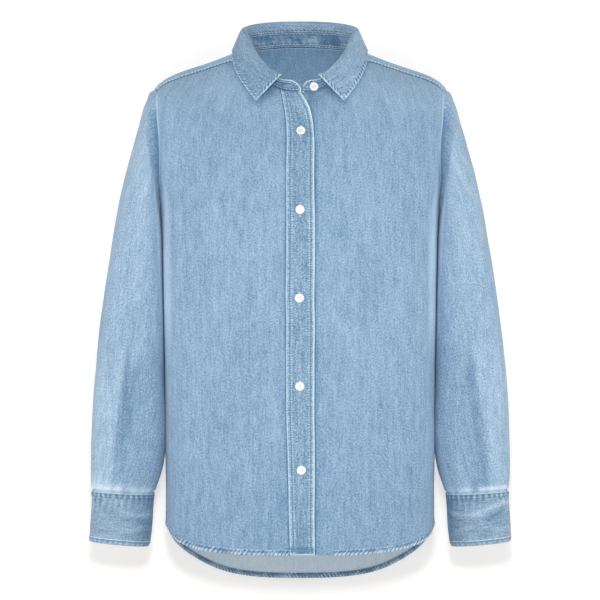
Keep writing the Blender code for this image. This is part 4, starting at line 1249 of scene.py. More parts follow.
def placket(looks):
    """The folded strip with the buttonholes, on the right front and over the left."""
    rows = ring_rows()
    rows = np.interp(np.linspace(0, len(rows) - 1, PLACKET_DOWN), np.arange(len(rows)), rows)
    rows[0] += 2 * SMALL
    right = front_angle(placket_line("right_edge", rows), rows)
    free = front_angle(placket_line("free_edge", rows), rows)
    angle, row, base = torso_grid(rows, right, free, PLACKET_STEPS)
    edges = borders(base)
    from_right, from_free = edges["left"][1], edges["right"][1]
    side = pucker(*edges["left"], 8.5, 0.42, 3.2, 71) + pucker(*edges["right"], 9.5, 0.42, 3.2, 73)
    lift = CLOTH / 2 + SEAM_GAP + FOLDED / 2 + front_relief(angle, row)
    lift = lift + side + 0.3 * ramp(2, 6, from_right) * ramp(2, 6, from_free)
    points = opened(base + torso_normal(angle, row) * lift[..., None])
    sway = 0.45 * drift(walk(base, 0) / 34, 0 * row, 75) * ramp(0.2, 1, row) * (1 - ramp(9.6, 10, row))
    swing = aside(base[..., 2]) * (1 - ramp(4, 22, from_right))
    points = points + np.stack([sway - BAND_SHIFT + swing, 0 * sway, 0 * sway], axis=-1)
    # Pale on both folds and along the lower edge, deep just above that edge and in the buttonholes' slits.
    low_run, low = edges["bottom"]
    drawn = 0.75 + 0.6 * drift(low_run / 4.5, low / 12, 77)
    worn = side * 0.7 + bell(from_free, 1.6) * 2.2 + bell(from_right, 1.4) * 0.5
    worn = worn - 1.3 * drawn * bell(low - 6, 4) + 1.2 * drawn * bell(low, 1.8)
    for x, z in FRONT_BUTTONS.values():
        ends = 1 - ramp(7.5, 9.5, np.abs(points[..., 2] - z + 1))
        worn = worn - 1.5 * (bell(points[..., 0] - x + BUTTON_SHIFT, 1.3) * ends)
    run, away = nearest(edges, ("left", "right", "bottom"))
    cloth = pair(walk(base, 1) + place("placket"), -base[..., 2])
    seam = pair(run, away * STITCH_AT / PLACKET_STITCH)
    return panel("button_placket", points, (looks["band"],), FOLDED, cloth, seam, worn)


def hem_band(name, grid, trim, look, seed, wave, bright):
    """A turned hem: a flat loop's profile carried along the panel's lower edge, roped by slanted waves.

    The profile goes down the outside, round under the edge and up the inside. The rope is a sine of the run
    less a share of the height, whose phase wanders.
    """
    reach, lift, drop = HEM_PROFILE
    grid = grid[:, trim[0]: grid.shape[1] - trim[1]]
    lines = np.stack([line_at(grid, "bottom", max(h, 1e-3)) for h in reach])
    count = lines.shape[1]
    fine = np.linspace(0, count - 1, 2 * count)
    before = np.floor(fine).astype(int).clip(0, count - 2)
    part = (fine - before)[None, :, None]
    lines = lines[:, before] * (1 - part) + lines[:, before + 1] * part
    down = unit(lines[8, :, :3] - lines[2, :, :3])
    run = walk(lines[..., :3], 1)
    reach, lift = reach[:, None], lift[:, None]
    twist = run - HEM_SLANT * reach
    phase = 2 * np.pi * (twist / wave + 0.35 * drift(twist / (2.3 * wave), 0 * run, seed))
    rope = np.sin(phase) * (0.85 + 0.4 * drift(run / 21, 0 * run, seed + 1))
    near_end = np.minimum(run, run[:, -1:] - run)
    rise = lift * (0.4 + 0.6 * ramp(2, 16, near_end))
    rise = rise + np.where(lift > 0, 0.38, -0.2) * rope * ramp(-1, 3, reach) * ramp(0, 10, near_end)
    points = lines[..., :3] + lines[..., 3:] * rise[..., None] + down[None] * drop[:, None, None]
    # The ropes are pale where they stand proud, so are the edge and the top fold, and a line between is deep.
    worn = 0.9 * rope + 0.5 * drift(run / 5, reach / 3, seed + 2)
    worn = worn + bright * bell(reach - 0.6, 1.3) * (0.75 + 0.6 * rope)
    worn = worn + (bright - 0.2) * bell(reach - 5.9, 0.7)
    worn = worn - 0.5 * bell(reach - 4.2, 1.0)
    return sew(name, points, (look,), HEM_CLOTH, pair(run + 40 * seed, reach + 0 * run), None, worn)


# ------------------------------------------------------------------------------------ the sleeves


def mirror_grid(points, *others):
    """A grid of the wearer's left side as its mirror image on the right, with what goes with it."""
    return (points[:, ::-1] * np.array([-1, 1, 1]), *(other[:, ::-1] for other in others))


def sleeves(looks):
    """The two sleeves, their columns starting at the arm's inner side, where the long seam is."""
    made = {}
    turn = np.pi + 2 * np.pi * np.arange(SLEEVE_STEPS) / SLEEVE_STEPS
    share = np.linspace(0, 1, ARM_STEPS + 1)
    arm = 1 + (SLEEVE_ROWS - 1 + INTO_CUFF) * (share + 0.06 * np.sin(np.pi * share) * share)
    rows = np.concatenate([np.linspace(0, 1, CAP_STEPS + 1), arm[1:]])
    base = sleeve_points(turn, rows)[:, ::-1]
    turns = (np.degrees(turn) % 360)[::-1][None] + 0 * rows[:, None]
    outward = normals(base, closed=True)
    x, _, z = np.moveaxis(base, -1, 0)
    down = walk(base, 0)
    low = down[-1:] - down
    run = walk(wrapped(base), 1)
    round_it = run[:, :-1] / run[:, -1:]
    facing, behind = ramp(-0.1, 0.35, -outward[..., 1]), ramp(-0.1, 0.35, outward[..., 1])
    inner_side = bell(turns - 180, 50)
    clear = 1 - (1 - ramp(35, 85, np.abs(turns - 180))) * ramp(150, 215, -z)
    # The sleeve's end lies inside the cuff's strip, which steps out by one layer where it laps.
    lapped = (turns - CUFF_START) % 360
    step = CUFF_LAYER_STEP * (ramp(0, 360 + CUFF_LAP, lapped) * (1 - ramp(310, 358, lapped)) - 0.5)
    # At the armhole the sleeve starts further in, and below its form except at the top.
    at_cap = (1 - ramp(0, 7, down))[..., None]
    sunk = (CAP_SUNK - CAP_RAISED * ramp(-105, -78, z[:1]))[..., None] * at_cap
    start = np.array([-CAP_SHIFT, 0, 0]) * at_cap - outward * sunk
    for side, name in SIDES:
        seed = 80 + 10 * side
        lines = SLEEVE_CREASES[f"{name}_front"]
        swell = sum(
            height * drift(round_it * waves, z / along, seed + i, waves)
            for i, (height, waves, along) in enumerate(SLEEVE_SWELLS)
        )
        folds = creases(x, z, lines) * facing + creases(x, z, SLEEVE_CREASES[f"{name}_back"]) * behind
        gathers = np.sin(2 * np.pi * (17 * round_it + 0.35 * drift(round_it * 11, z / 60, seed + 3, 11)))
        gathers = 1.1 * gathers * np.exp(-low / 24) * (0.7 + 0.4 * drift(round_it * 9, z / 80, seed + 4, 9))
        lift = ((swell + folds) * ramp(4, 38, down) * ramp(2, 26, low) + gathers * ramp(2.5, 8, low)) * clear
        at_seam = pucker(round_it * 288, down, 12, 0.35, 7, seed + 5)
        lift = lift + at_seam * ramp(0, 0.03, round_it * (1 - round_it))
        lift = lift + (step - 1.8) * (1 - ramp(3.2, 6.2, low)) + 0.5 * bell(low - 8.5, 3.5)
        lift = lift - 1.3 * bell(low, 55) * clear
        lift = lift - 1.2 * inner_side * bell(low, 45) + 2.4 * inner_side * bell(z + 492, 42)
        points = base + outward * lift[..., None] + start
        # Pale and frayed above the cuff, most on the outer side.
        fray = 0.75 + 0.5 * drift(round_it * 60, low / 9, seed + 6, 60)
        patch = 0.8 + 0.7 * drift(round_it * 14, low / 30, seed + 8, 14)
        outer = 0.55 + 0.45 * (1 + np.cos(np.radians(turns)))
        worn = (bell(low - 4.5, 5) * fray * 2.3 + 0.9 * patch * bell(low, 17)) * outer
        worn = worn + 0.5 * gathers * np.exp(-low / 12)
        # Painted highlight outside the elbow's long fold and painted shade inside it.
        off, along = beside(x, z, dict(zip(CREASE_COLUMNS, lines["bend_ridge"])))
        wear_and_painted_fold_light = np.tanh((off - 1) / 2.2) * ramp(0.08, 0.45, along) * (1 - ramp(0.96, 1.05, along)) * facing
        worn = worn + np.where(wear_and_painted_fold_light > 0, 0.20, 0.40 * bell(off + 12, 24)) * wear_and_painted_fold_light
        # Painted shade below the armhole's seam, a little paler on the upper arm, painted light in the
        # crevice beside the body, deep in the gathers at the cuff.
        shade = bell(down, 9) + bell(down, 3.2)
        worn = worn - shade * ramp(68, 100, -z) * facing + 0.1 * ramp(-330, -230, z)
        worn = worn + 1.2 * painted_crevice_light(-outward[..., 0], z)
        worn = worn - 1.9 * bell(low, 1.4) * (0.5 + 0.6 * np.sin(88 * np.pi * round_it + 1.5 * gathers))
        u, v, seam = run, wrapped(base) @ unit(np.array([0.12, 0, -1.0])), pair(run, NO_SEAM + 0 * run)
        if side < 0:
            points, worn, u, v, seam = mirror_grid(points, worn, u, v, seam)
            points, worn = np.roll(points, 1, axis=1), np.roll(worn, 1, axis=1)
        cloth = pair(u + place("sleeve", side), v)
        both = (looks["sleeve"], looks["wrong"])
        made[f"sleeve_{name}"] = panel(f"sleeve_{name}", points, both, CLOTH, cloth, seam, worn, closed=True)
    return made


def cuffs(looks):
    """The two cuffs: strips that lap at the back of the wrist, puckered under their stitching."""
    made = {}
    turn = np.linspace(0, 360 + CUFF_LAP, CUFF_STEPS + 1)
    down = np.linspace(0, 1, CUFF_DOWN + 1)
    base = cuff_surface(turn, down)[:, ::-1]
    outward = normals(base)
    edges = borders(base)
    (along, below), above = edges["top"], edges["bottom"][1]
    turns = ((CUFF_START + turn[::-1]) % 360)[None] + 0 * down[:, None]
    clear = 0.25 + 0.75 * ramp(30, 75, np.abs(turns - 180))
    held = ramp(0, 12, below) * ramp(0, 12, above)
    ridge = 0.45 * bell(below - 3.4, 2.6)
    slim = 1.3 * bell(turns - 180, 55) * (1 - ramp(10, 50, below))
    rounded = 1.3 * bell(above, 2.2)
    toward = np.cos(np.radians(turns))
    flare = ramp(0, 70, below) * toward**2 * np.where(toward > 0, 2.0, 0.4)
    shifted = np.stack([flare, 0 * flare, 0.8 * bell(above, 20)], axis=-1)
    folds = creases(turns, -below, CUFF_CREASES)
    run, away = nearest(edges, ("bottom", "left", "right"))
    away = np.where(below < away, CUFF_TOP_AT + below, away * STITCH_AT / CUFF_STITCH)
    away = np.where((away > CUFF_TOP_AT) & (below > 20), 40, away)
    for side, name in SIDES:
        seed = 130 + 10 * side
        top = pucker(*edges["top"], 8.5, 0.75, 6.5, seed)
        top = top + 0.4 * pucker(*edges["top"], 5.2, 0.6, 3.0, seed + 1)
        low = pucker(*edges["bottom"], 9.0, 0.22, 4.0, seed + 2)
        ends = pucker(*edges["left"], 9.0, 0.3, 3.5, seed + 3)
        ends = ends + pucker(*edges["right"], 9.0, 0.3, 3.5, seed + 4)
        swell = 0.8 * drift(along / 42, below / 40, seed + 5) + 0.3 * drift(along / 15, below / 17, seed + 6)
        lift = ((swell + folds) * held + top + low + ends + ridge) * clear - 0.7 - slim - rounded
        points = base + outward * lift[..., None] + shifted
        worn = 0.8 * top + 0.8 * low - 0.35 * bell(below - 5, 3)
        # Painted shade on the cuff's inner side, which faces the body.
        worn = worn - 0.55 * ramp(100, 165, np.abs((turns + 180) % 360 - 180))
        u, v, seam = along + place("cuff", side), below, pair(run, away)
        if side < 0:
            points, worn, u, v, seam = mirror_grid(points, worn, u, v, seam)
        worn = worn + 0.6 * folds * held
        cloth = pair(v, u)
        made[f"cuff_{name}"] = panel(f"cuff_{name}", points, (looks["cuff"],), FOLDED, cloth, seam, worn)
    return made


def sleeve_plackets(looks, cloths):
    """The strips over the slits above the cuffs, laid on the sleeve's own cloth."""
    made = {}
    middle = (SLIT_ANGLE / 360 + 0.5) % 1
    share = np.linspace(-0.5, 0.5, 14)
    for side, name in SIDES:
        grid = cloths[f"sleeve_{name}"][1]
        if side < 0:
            grid = grid[:, ::-1] * np.array([-1, 1, 1, -1, 1, 1])
        rings = wrapped(grid[:, ::-1])[CAP_STEPS + round(ARM_STEPS * SLIT_TOP): -2]
        strip = []
        for ring, lengths in zip(rings, walk(rings, 1)):
            wanted = lengths[-1] * middle + share * SLIT_WIDTH
            strip.append(np.stack([np.interp(wanted, lengths, ring[:, i]) for i in range(6)], axis=-1))
        strip = np.array(strip)
        points = (strip[..., :3] + unit(strip[..., 3:]) * SLIT_LIFT)[:, ::-1]
        edges = borders(points)
        run, away = nearest(edges, ("left", "right", "top"))
        lift = pucker(run, away, 8, 0.3, 3, 171 + side)
        points = points + normals(points) * lift[..., None]
        down, over = edges["left"]
        u, seam, worn = over + place("slit", side), pair(run, away * STITCH_AT / SLIT_STITCH), lift * 0.7
        if side < 0:
            points, worn, u, down, seam = mirror_grid(points, worn, u, down, seam)
        node = f"sleeve_placket_{name}"
        made[node] = panel(node, points, (looks["folded"],), CLOTH, pair(u, down), seam, worn)
    return made


# ------------------------------------------------------------------------------------- the collar


def stand_half(name):
    """Distances in degrees from the centre front to the back, and the share of the stand's height at each."""
    end = dict(zip(STAND_END_COLUMNS, STAND_ENDS[name]))
    past_end = end["curve"] * (1 - np.cos(np.linspace(0, math.pi / 2, STAND_END_STEPS + 1)))
    left = 1 - past_end / end["curve"]
    corner = end["height"] + (1 - end["height"]) * (1 - left ** end["power"]) ** (1 / end["power"])
    rest = np.linspace(end["angle"] + end["curve"], 180, STAND_STEPS + 1)[1:]
    return np.concatenate([end["angle"] + past_end, rest]), np.concatenate([corner, np.ones_like(rest)])


def stand(looks):
    """The collar stand, round the neck from one rounded end to the other, drawn up by its stitching.

    Its grid starts at the neck seam, so the border called top is the lower edge, and bottom is the upper.
    """
    right, right_height = stand_half("right")
    left, left_height = stand_half("left")
    angle = np.concatenate([left, -right[-2::-1]])
    height = np.concatenate([left_height, right_height[-2::-1]])
    share = height * np.linspace(0, 1, STAND_UP + 1)[:, None]
    base = stand_point(np.broadcast_to(angle, share.shape), share)
    is_right = (np.arange(len(angle)) >= len(left))[None, :, None]
    base = np.where(is_right, opened(base), base)
    edges = borders(base)
    (over, lower), upper = edges["top"], edges["bottom"][1]
    from_left, from_right = edges["left"][1], edges["right"][1]
    lift = pucker(*edges["top"], 8, 0.32, 4.5, 181) + pucker(*edges["bottom"], 9, 0.3, 4, 183)
    lift = lift + 0.35 * drift(over / 8, lower / 12, 185)
    points = base + normals(base) * (lift * ramp(0, 6, from_left) * ramp(0, 6, from_right))[..., None]
    # Blotched all over. Near its ends it is pale along the upper edge and deep along the neck seam.
    blotch = drift((over + 1.2 * lower) / 9, (lower - 0.35 * over) / 2.6, 187)
    blotch = blotch + 0.5 * drift(over / 3.4, lower / 3, 188)
    from_end = np.minimum(from_left, from_right)
    rim = np.minimum(from_end, upper)
    wear_and_painted_fold_light = 2.6 * bell(rim, 1.9) - 2.4 * bell(lower, 1.5) * ramp(1.5, 4, rim)
    worn = 0.9 * lift + 0.42 * blotch + wear_and_painted_fold_light * (1 - ramp(40, 70, from_end))
    run, away = nearest(edges, ("top", "bottom", "left", "right"))
    cloth, seam = pair(lower + place("stand"), over), pair(run, away * STITCH_AT / STAND_STITCH)
    return panel("collar_stand", points, (looks["stand"],), STAND_CLOTH, cloth, seam, worn)


def leaf(looks):
    """The collar leaf: up out of the stand, over its roll line and down to its edge and two points."""
    half = np.linspace(COLLAR["point"][0], COLLAR["back"][0], LEAF_STEPS // 2 + 1)
    angle = np.concatenate([-half, half[-2::-1]])
    climb = np.linspace(0, 1, CLIMB_STEPS + 1)[:-1]
    fall = np.linspace(0, 1, FALL_STEPS + 1)
    base = leaf_points(angle, climb, fall)
    edges = borders(base)
    ends = ("bottom", "left", "right")
    run, away = nearest(edges, ends)
    (over, up), inside = edges["bottom"], edges["top"][1]
    on_fall = ramp(CLIMB_STEPS, CLIMB_STEPS + 8, np.arange(len(base)))[:, None]
    lift = sum(pucker(*edges[end], 8, 0.4, 4, 190 + i) for i, end in enumerate(ends)) * on_fall
    swell = 0.7 * drift(over / 48, up / 40, 195) + 0.2 * drift(over / 15, up / 15, 197)
    lift = np.maximum(lift + swell * on_fall * 0.8, -0.9)
    points = base + normals(base) * lift[..., None]
    fray = 0.75 + 0.5 * drift(run / 6, away / 9, 199)
    worn = 0.6 * lift + 0.9 * bell(away, 1.3) * fray * on_fall
    under_roll = np.minimum((inside + 1.5) * STITCH_AT / STAND_STITCH, NO_SEAM)
    seam = pair(run, np.where(on_fall > 0.02, away * STITCH_AT / LEAF_STITCH, under_roll))
    cloth = pair(inside + place("leaf"), from_middle(base))
    return panel("collar_leaf", points, (looks["folded"],), FOLDED, cloth, seam, worn)


# ------------------------------------------------------------------------------------ the buttons


def button_heights(radius, turn):
    """The button's upper face: a raised rounded rim, a dish inside it, and four holes near the middle."""
    rim = 0.3 * bell(radius - 4.7, 0.75)
    face = BUTTON_THICK - 0.45 + rim - 0.08 * bell(radius, 3.2)
    edge = ramp(4.9, BUTTON_RADIUS, radius) * 0.55
    x, y = radius * np.cos(turn), radius * np.sin(turn)
    holes = sum(
        np.exp(-((np.hypot(x - HOLE_OFF * a, y - HOLE_OFF * b) / 0.75) ** 4))
        for a in (-1, 1)
        for b in (-1, 1)
    )
    return face - edge - 1.3 * holes


def button(name, seat, outward, looks):
    """One round button on its seat, facing outward: turned rings of the upper face, the rim and the back."""
    outward = unit(outward)
    level = unit(np.cross(np.array([0, 0, 1.0]), outward))
    upright = np.cross(outward, level)
    turn = 2 * np.pi * np.arange(BUTTON_SIDES) / BUTTON_SIDES
    radius = np.concatenate([np.linspace(0.12, BUTTON_RADIUS, BUTTON_RINGS), BUTTON_BACK[:, 0]])[:, None]
    height = button_heights(radius, turn)
    height[BUTTON_RINGS:] = BUTTON_BACK[:, 1:]
    flat = radius[..., None] * (np.cos(turn)[None, :, None] * level + np.sin(turn)[None, :, None] * upright)
    points = seat + flat + height[..., None] * outward
    index = wrapped(np.arange(height.size).reshape(height.shape))
    faces = corners(index).tolist()
    upper, under = index[0].tolist(), index[-1].tolist()
    faces += [[height.size, a, b] for a, b in zip(upper, upper[1:])]
    faces += [[height.size + 1, b, a] for a, b in zip(under, under[1:])]
    centre = seat + outward * button_heights(np.array(0.0), np.array(0.0))
    points = np.concatenate([points.reshape(-1, 3), centre[None], seat[None]])
    piece = new_piece(f"{name}_disc", points, faces, [looks["button"]])
    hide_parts(name)
    share = np.linspace(-1, 1, 15)[:, None]
    arch = BUTTON_THICK - 0.75 + 0.42 * (1 - np.abs(share) ** 3) - 0.8 * ramp(0.8, 1.0, np.abs(share))
    bars = [seat + level * HOLE_OFF * side + upright * share * HOLE_OFF + outward * arch for side in (-1, 1)]
    cord(f"{name}_thread", bars, 0.24, looks["pale_thread"])


def cord(name, paths, radius, look):
    """Round threads along open paths: a ring of eight carried along each, closed by a point at its ends."""
    points, faces, first = [], [], 0
    turn = (2 * np.pi * np.arange(8) / 8)[:, None]
    for path in paths:
        ahead = unit(np.gradient(path, axis=0))
        sideways = unit(np.cross(ahead, np.array([0.3, 0.5, 0.8])))
        above = np.cross(ahead, sideways)
        ring = path[:, None] + radius * (np.cos(turn) * sideways[:, None] + np.sin(turn) * above[:, None])
        index = wrapped(np.arange(len(path) * 8).reshape(len(path), 8) + first)
        start, end = index[0].tolist(), index[-1].tolist()
        last = first + len(path) * 8
        faces += corners(index)[:, ::-1].tolist()
        faces += [[last, b, a] for a, b in zip(start, start[1:])]
        faces += [[last + 1, a, b] for a, b in zip(end, end[1:])]
        points += [ring.reshape(-1, 3), path[:1] - ahead[:1] * radius, path[-1:] + ahead[-1:] * radius]
        first = last + 2
    new_piece(name, np.concatenate(points), faces, [look])


def buttons(looks):
    """The five front buttons with their buttonholes, the stand's button and one on each cuff."""
    rows = np.linspace(0, HEM_ROW, SAMPLES)
    heights = torso(0, rows)[:, 2]
    turn = 2 * np.pi * np.arange(41) / 40
    wide = np.cos(turn)[:, None] * HOLE_WIDE
    long = (1 + np.sign(np.sin(turn)) * np.abs(np.sin(turn)) ** 0.6 * HOLE_LONG)[:, None]
    holes = []
    for name, (x, z) in FRONT_BUTTONS.items():
        lowered = FIRST_BUTTON_DROP if name == "front_button_1" else 0.0
        row = np.array(np.interp(lowered - z, -heights, rows))
        angle = np.array(float(front_angle(x - BUTTON_SHIFT, row)))
        skin, outward = torso(angle, row), torso_normal(angle, row)
        lift = CLOTH / 2 + SEAM_GAP + FOLDED + SEAT_GAP + float(front_relief(angle, row)) + SEAM_GAP
        button(name, skin + outward * lift, outward, looks)
        down = unit(np.cross(np.array([1.0, 0, 0]), outward))
        holes.append(skin + outward * (lift - SEAM_GAP + 0.25) + np.cross(outward, down) * wide + down * long)
    cord("buttonholes", holes, 0.62, looks["hole_thread"])
    angle, height = np.array([STAND_BUTTON_ANGLE]), np.array([STAND_BUTTON_HEIGHT])
    seat = stand_point(angle, height)[0]
    upward = stand_point(angle, height + SMALL)[0] - seat
    outward = unit(np.cross(stand_point(angle + SMALL, height)[0] - seat, upward))
    button("stand_button", seat + outward * (STAND_CLOTH / 2 + 0.5) - np.array([1.0, 0, 1.5]), outward, looks)
    near = cuff_surface(360 + CUFF_LAP / 2 + np.array([-1, 0, 1]), np.array([0.5]))[0]
    outward = unit(np.cross(near[2] - near[0], np.array([0, 0, -1.0])))
    seat = near[1] + outward * (FOLDED / 2 + CUFF_BUTTON_SEAT + 0.6)
    for side, name in SIDES:
        flip = np.array([side, 1, 1])
        button(f"cuff_button_{name}", seat * flip, outward * flip, looks)


# --------------------------------------------------------------------------------- the whole shirt


def all_looks():
    """Every material by a short name: the denims by what they are sewn into, the threads and the buttons."""
    return {
        "face": denim("washed_denim", (0.122, 0.246, 0.408), (0.400, 0.572, 0.745)),
        "yoke": denim(
            "yoke_denim", (0.165, 0.335, 0.555), (0.560, 0.790, 0.980), beads=3.2, pitch=4.4, edges=YOKE_EDGE,
            band=YOKE_BEADS, rope=0.6,
        ),
        "front": denim(
            "front_denim", (0.122, 0.246, 0.408), (0.483, 0.670, 0.846), 0.385, wear=0.4, contrast=0.77,
            rope=0.0, beads=0.0, edges=PAINTED_EDGE_SHADOW, line=1.25,
        ),
        # A lighter copy of the washed denim: painted light on the sleeves.
        "sleeve": denim("sleeve_denim_painted_light", (0.150, 0.290, 0.465), (0.560, 0.725, 0.875), 0.425, contrast=0.88),
        "folded": denim("folded_denim", (0.115, 0.230, 0.375), (0.440, 0.610, 0.765), 0.46, beads=1.3),
        "band": denim(
            "placket_denim", (0.110, 0.220, 0.365), (0.480, 0.660, 0.810), 0.38, rope=0.4, beads=0.7,
            pitch=3.1, line=1.5, slant=0.2, edges=BAND_EDGE, band=BAND_BEADS,
        ),
        "cuff": denim(
            "cuff_denim", (0.110, 0.225, 0.370), (0.590, 0.745, 0.870), 0.35, contrast=0.68, rope=0.22,
            beads=0.95, pitch=7.2, edges=CUFF_EDGE, band=CUFF_BEADS, line=1.2, slant=0.15,
        ),
        "stand": denim(
            "stand_denim", (0.085, 0.185, 0.315), (0.440, 0.600, 0.750), 0.27, contrast=0.5, rope=0.8,
            beads=1.1, pitch=4.6, edges=STAND_EDGE, line=1.3, slant=0.5,
        ),
        "hem": denim("hem_denim", (0.100, 0.205, 0.350), (0.560, 0.730, 0.860), 0.30, contrast=0.7),
        # Denim's pale wrong side, made paler still as painted light where it lies in shade.
        "wrong": denim("wrong_side", (0.58, 0.75, 0.94), (0.88, 0.98, 1.0), 0.5, 0.5, 0.8),
        # Brighter than the washed denim that the inner yoke is cut from: painted light inside the neck.
        "lining": denim("yoke_lining_painted_light", (0.155, 0.320, 0.535), (0.42, 0.64, 0.88), 0.5, 0.4, 0.9),
        "thread": thread_look("blue_thread", (0.20, 0.33, 0.46), (0.50, 0.63, 0.74)),
        "hole_thread": thread_look("light_blue_thread", (0.32, 0.45, 0.58), (0.56, 0.68, 0.78)),
        "pale_thread": thread_look("pale_thread", (0.52, 0.64, 0.74), (0.80, 0.86, 0.90)),
        "button": button_look(),
    }


def sew_rows(cloths, looks):
    """The rows of stitches on each cloth, as one piece of thread for each.

    A row is a border, the distance from it, how many columns are left off at its two ends, and whether it
    lies on the inside of the cloth.
    """
    at_throat = (12, len(cloths["front_left"][1]) - UNDER_ROWS)
    below_armhole = (ARMHOLE_STEPS // 2 + 4, 1)
    both = ("left", "right")
    rows = {
        "left_front": ("front_left", CLOTH, [
            ("bottom", HEM_STITCH, (16, 1)), ("left", UNDER_STITCH, at_throat),
        ]),
        "right_front": ("front_right", CLOTH, [("bottom", HEM_STITCH, (1, 4))]),
        "yoke": ("yoke", CLOTH, [
            *((border, YOKE_STITCH, (2, 2)) for border in both), ("bottom", YOKE_STITCH, (1, 1)),
        ]),
        "back": ("back", CLOTH, [
            *((side, distance, below_armhole) for side in both for distance in (EDGE_STITCH, SIDE_STITCH)),
            ("bottom", HEM_STITCH),
        ]),
        "placket": ("button_placket", FOLDED, [(border, PLACKET_STITCH) for border in (*both, "bottom")]),
        "leaf": ("collar_leaf", FOLDED, [
            ("bottom", LEAF_STITCH, (4, 4)), *((border, LEAF_STITCH, (CLIMB_STEPS, 3)) for border in both),
            ("top", 2.0, (3, 3), True),
        ]),
        "stand": ("collar_stand", STAND_CLOTH, [
            (border, STAND_STITCH, (4, 4), inside) for border in ("top", "bottom") for inside in (False, True)
        ]),
    }
    for _, side in SIDES:
        cuff, slit = f"cuff_{side}", f"sleeve_placket_{side}"
        rows[cuff] = (cuff, FOLDED, [("top", 1.4), ("top", CUFF_STITCH), ("bottom", CUFF_STITCH)])
        rows[slit] = (slit, CLOTH, [(border, SLIT_STITCH) for border in both])
    sewing = {}
    for name, (cloth, thickness, lines) in rows.items():
        grid = cloths[cloth][1]
        lines = [seam_line(grid, border, distance, thickness / 2, *ends) for border, distance, *ends in lines]
        sewing[name] = stitches(f"{name}_stitches", lines, looks["thread"])
    return sewing


def shirt():
    """All the cloths, then their hems, their sewing and the buttons."""
    looks = all_looks()
    cloths = fronts(looks)
    cloths["yoke"] = yoke(looks)
    cloths["back"] = back_panel(looks)
    cloths["button_placket"] = placket(looks)
    cloths.update(sleeves(looks))
    cloths.update(cuffs(looks))
    cloths.update(sleeve_plackets(looks, cloths))
    cloths["collar_stand"] = stand(looks)
    cloths["collar_leaf"] = leaf(looks)
    hems = {
        side: hem_band(name, cloths[cloth][1], trim, looks["hem"], seed, wave, bright)
        for side, name, cloth, trim, seed, wave, bright in (
            ("left", "hem_front_left", "front_left", (16, 1), 211, 5.4, 1.15),
            ("right", "hem_front_right", "front_right", (1, 2), 221, 5.4, 1.15),
            ("back", "hem_back", "back", (1, 1), 231, 4.4, 0.7),
        )
    }
    sewing = sew_rows(cloths, looks)
    buttons(looks)


# ------------------------------------------------------------------------ floor, backdrop and light


FLOOR_Z, WALL_Y, WIDE = -0.80, 0.12, 7
SOFTBOXES = (   # name, place, target, width and height in metres, and power in watts
    ("key", (0, -2.9, 0.22), (0, 0, -0.32), (0.2, 0.2), 31),
    ("left_side", (2.3, -0.9, 0.0), (0.15, 0, -0.35), (0.9, 1.8), 18.5),
    ("right_side", (-2.3, -0.9, 0.0), (-0.15, 0, -0.35), (0.9, 1.8), 18.5),
    ("low_fill", (0, -1.8, -0.64), (0, 0.1, -0.66), (1.6, 0.2), 3),
    ("behind", (0, 3.0, 0.7), (0, 0, -0.3), (1.5, 1.5), 26),
    ("neck", (0, -0.03, -0.045), (0, 0.09, -0.055), (0.06, 0.03), 0.015),
)


def one_sided_white(name, shade, glow):
    """White paper seen from its face, with a glow of its own, and nothing at all from behind."""
    made = bpy.data.materials.new(name)
    made.use_nodes = True
    tree = made.node_tree
    tree.nodes.clear()
    spot = add(tree, "ShaderNodeTexCoord").outputs["Object"]
    tooth = add(tree, "ShaderNodeTexNoise", {"Vector": spot, "Scale": 3.0, "Detail": 2.0}).outputs[0]
    tone = mixed(tree, tooth, *((red, 0.97 * shade, 0.93 * shade) for red in (shade, shade + 0.01)))
    paper = add(tree, "ShaderNodeBsdfDiffuse", {"Color": tone}).outputs[0]
    if glow:
        lit = add(tree, "ShaderNodeEmission", {"Strength": glow}).outputs[0]
        paper = add(tree, "ShaderNodeAddShader", {0: paper, 1: lit}).outputs[0]
    clear = add(tree, "ShaderNodeBsdfTransparent").outputs[0]
    behind = add(tree, "ShaderNodeNewGeometry").outputs["Backfacing"]
    shown = add(tree, "ShaderNodeMixShader", {0: behind, 1: paper, 2: clear}).outputs[0]
    add(tree, "ShaderNodeOutputMaterial", {"Surface": shown})
    return made


def sheet_of_paper(name, four, shade, glow=0.0):
    """One flat sheet of the stage, by its four corners in metres."""
    mesh = bpy.data.meshes.new(name)
    mesh.from_pydata(four, [], [(0, 1, 2, 3)])
    mesh.materials.append(one_sided_white(name, shade, glow))
    made = bpy.data.objects.new(name, mesh)
    bpy.context.scene.collection.objects.link(made)
    return made


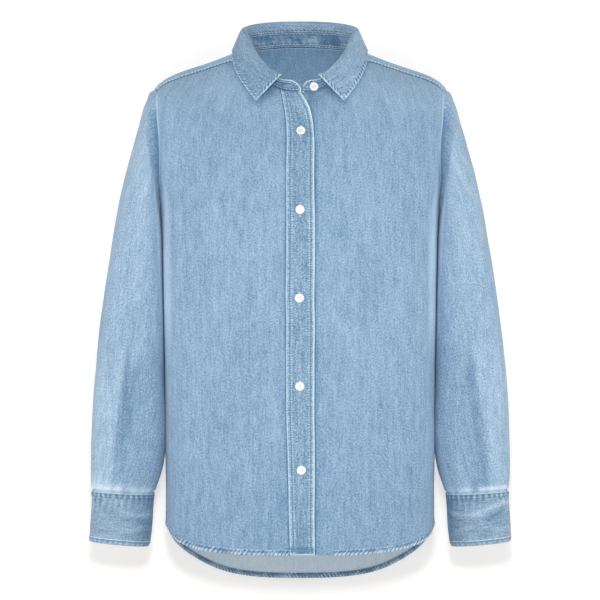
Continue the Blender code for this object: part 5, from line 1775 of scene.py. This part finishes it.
def softbox(name, spot, target, size, power):
    """A large soft light that the camera doesn't see."""
    lamp = bpy.data.lights.new(name, "AREA")
    lamp.shape = "RECTANGLE"
    lamp.size, lamp.size_y = size
    lamp.energy = power
    made = bpy.data.objects.new(name, lamp)
    bpy.context.scene.collection.objects.link(made)
    away = np.array(spot, float) - np.array(target, float)
    length = float(np.linalg.norm(away))
    made.location = spot
    made.rotation_euler = (math.acos(away[2] / length), 0, math.atan2(away[1], away[0]) + math.pi / 2)
    made.visible_camera = False


def studio():
    """White floor and backdrop, a white world a little brighter from below, six lights and the camera."""
    world = bpy.data.worlds.new("white_room")
    bpy.context.scene.world = world
    world.use_nodes = True
    tree = world.node_tree
    spot = add(tree, "ShaderNodeTexCoord").outputs["Generated"]
    height = add(tree, "ShaderNodeSeparateXYZ", {0: spot}).outputs[2]
    fade = {"Value": height, "From Min": 0.1, "From Max": 0.9, "To Min": 0.38, "To Max": 0.30}
    strength = add(tree, "ShaderNodeMapRange", fade, interpolation_type="SMOOTHSTEP").outputs[0]
    fill(tree, tree.nodes["Background"], {"Color": (1, 1, 1, 1), "Strength": strength})
    floor = [(-WIDE, -WIDE, FLOOR_Z), (WIDE, -WIDE, FLOOR_Z), (WIDE, WIDE, FLOOR_Z), (-WIDE, WIDE, FLOOR_Z)]
    sheet_of_paper("floor", floor, 0.90)
    upright = [(-WIDE, WALL_Y, FLOOR_Z), (WIDE, WALL_Y, FLOOR_Z), (WIDE, WALL_Y, 6), (-WIDE, WALL_Y, 6)]
    wall = sheet_of_paper("backdrop", upright, 0.71, 0.395)
    wall.visible_diffuse = wall.visible_glossy = wall.visible_shadow = wall.visible_transmission = False
    for name, spot, target, size, power in SOFTBOXES:
        softbox(name, spot, target, size, power)
    camera = bpy.data.cameras.new("camera")
    made = bpy.data.objects.new("camera", camera)
    bpy.context.scene.collection.objects.link(made)
    camera.lens = 138.46
    camera.sensor_width = 36
    made.location = (0, -3.0, -0.322)
    made.rotation_euler = (math.radians(90), 0, 0)
    bpy.context.scene.camera = made
    bpy.context.scene.view_settings.view_transform = "Standard"


shirt()
studio()
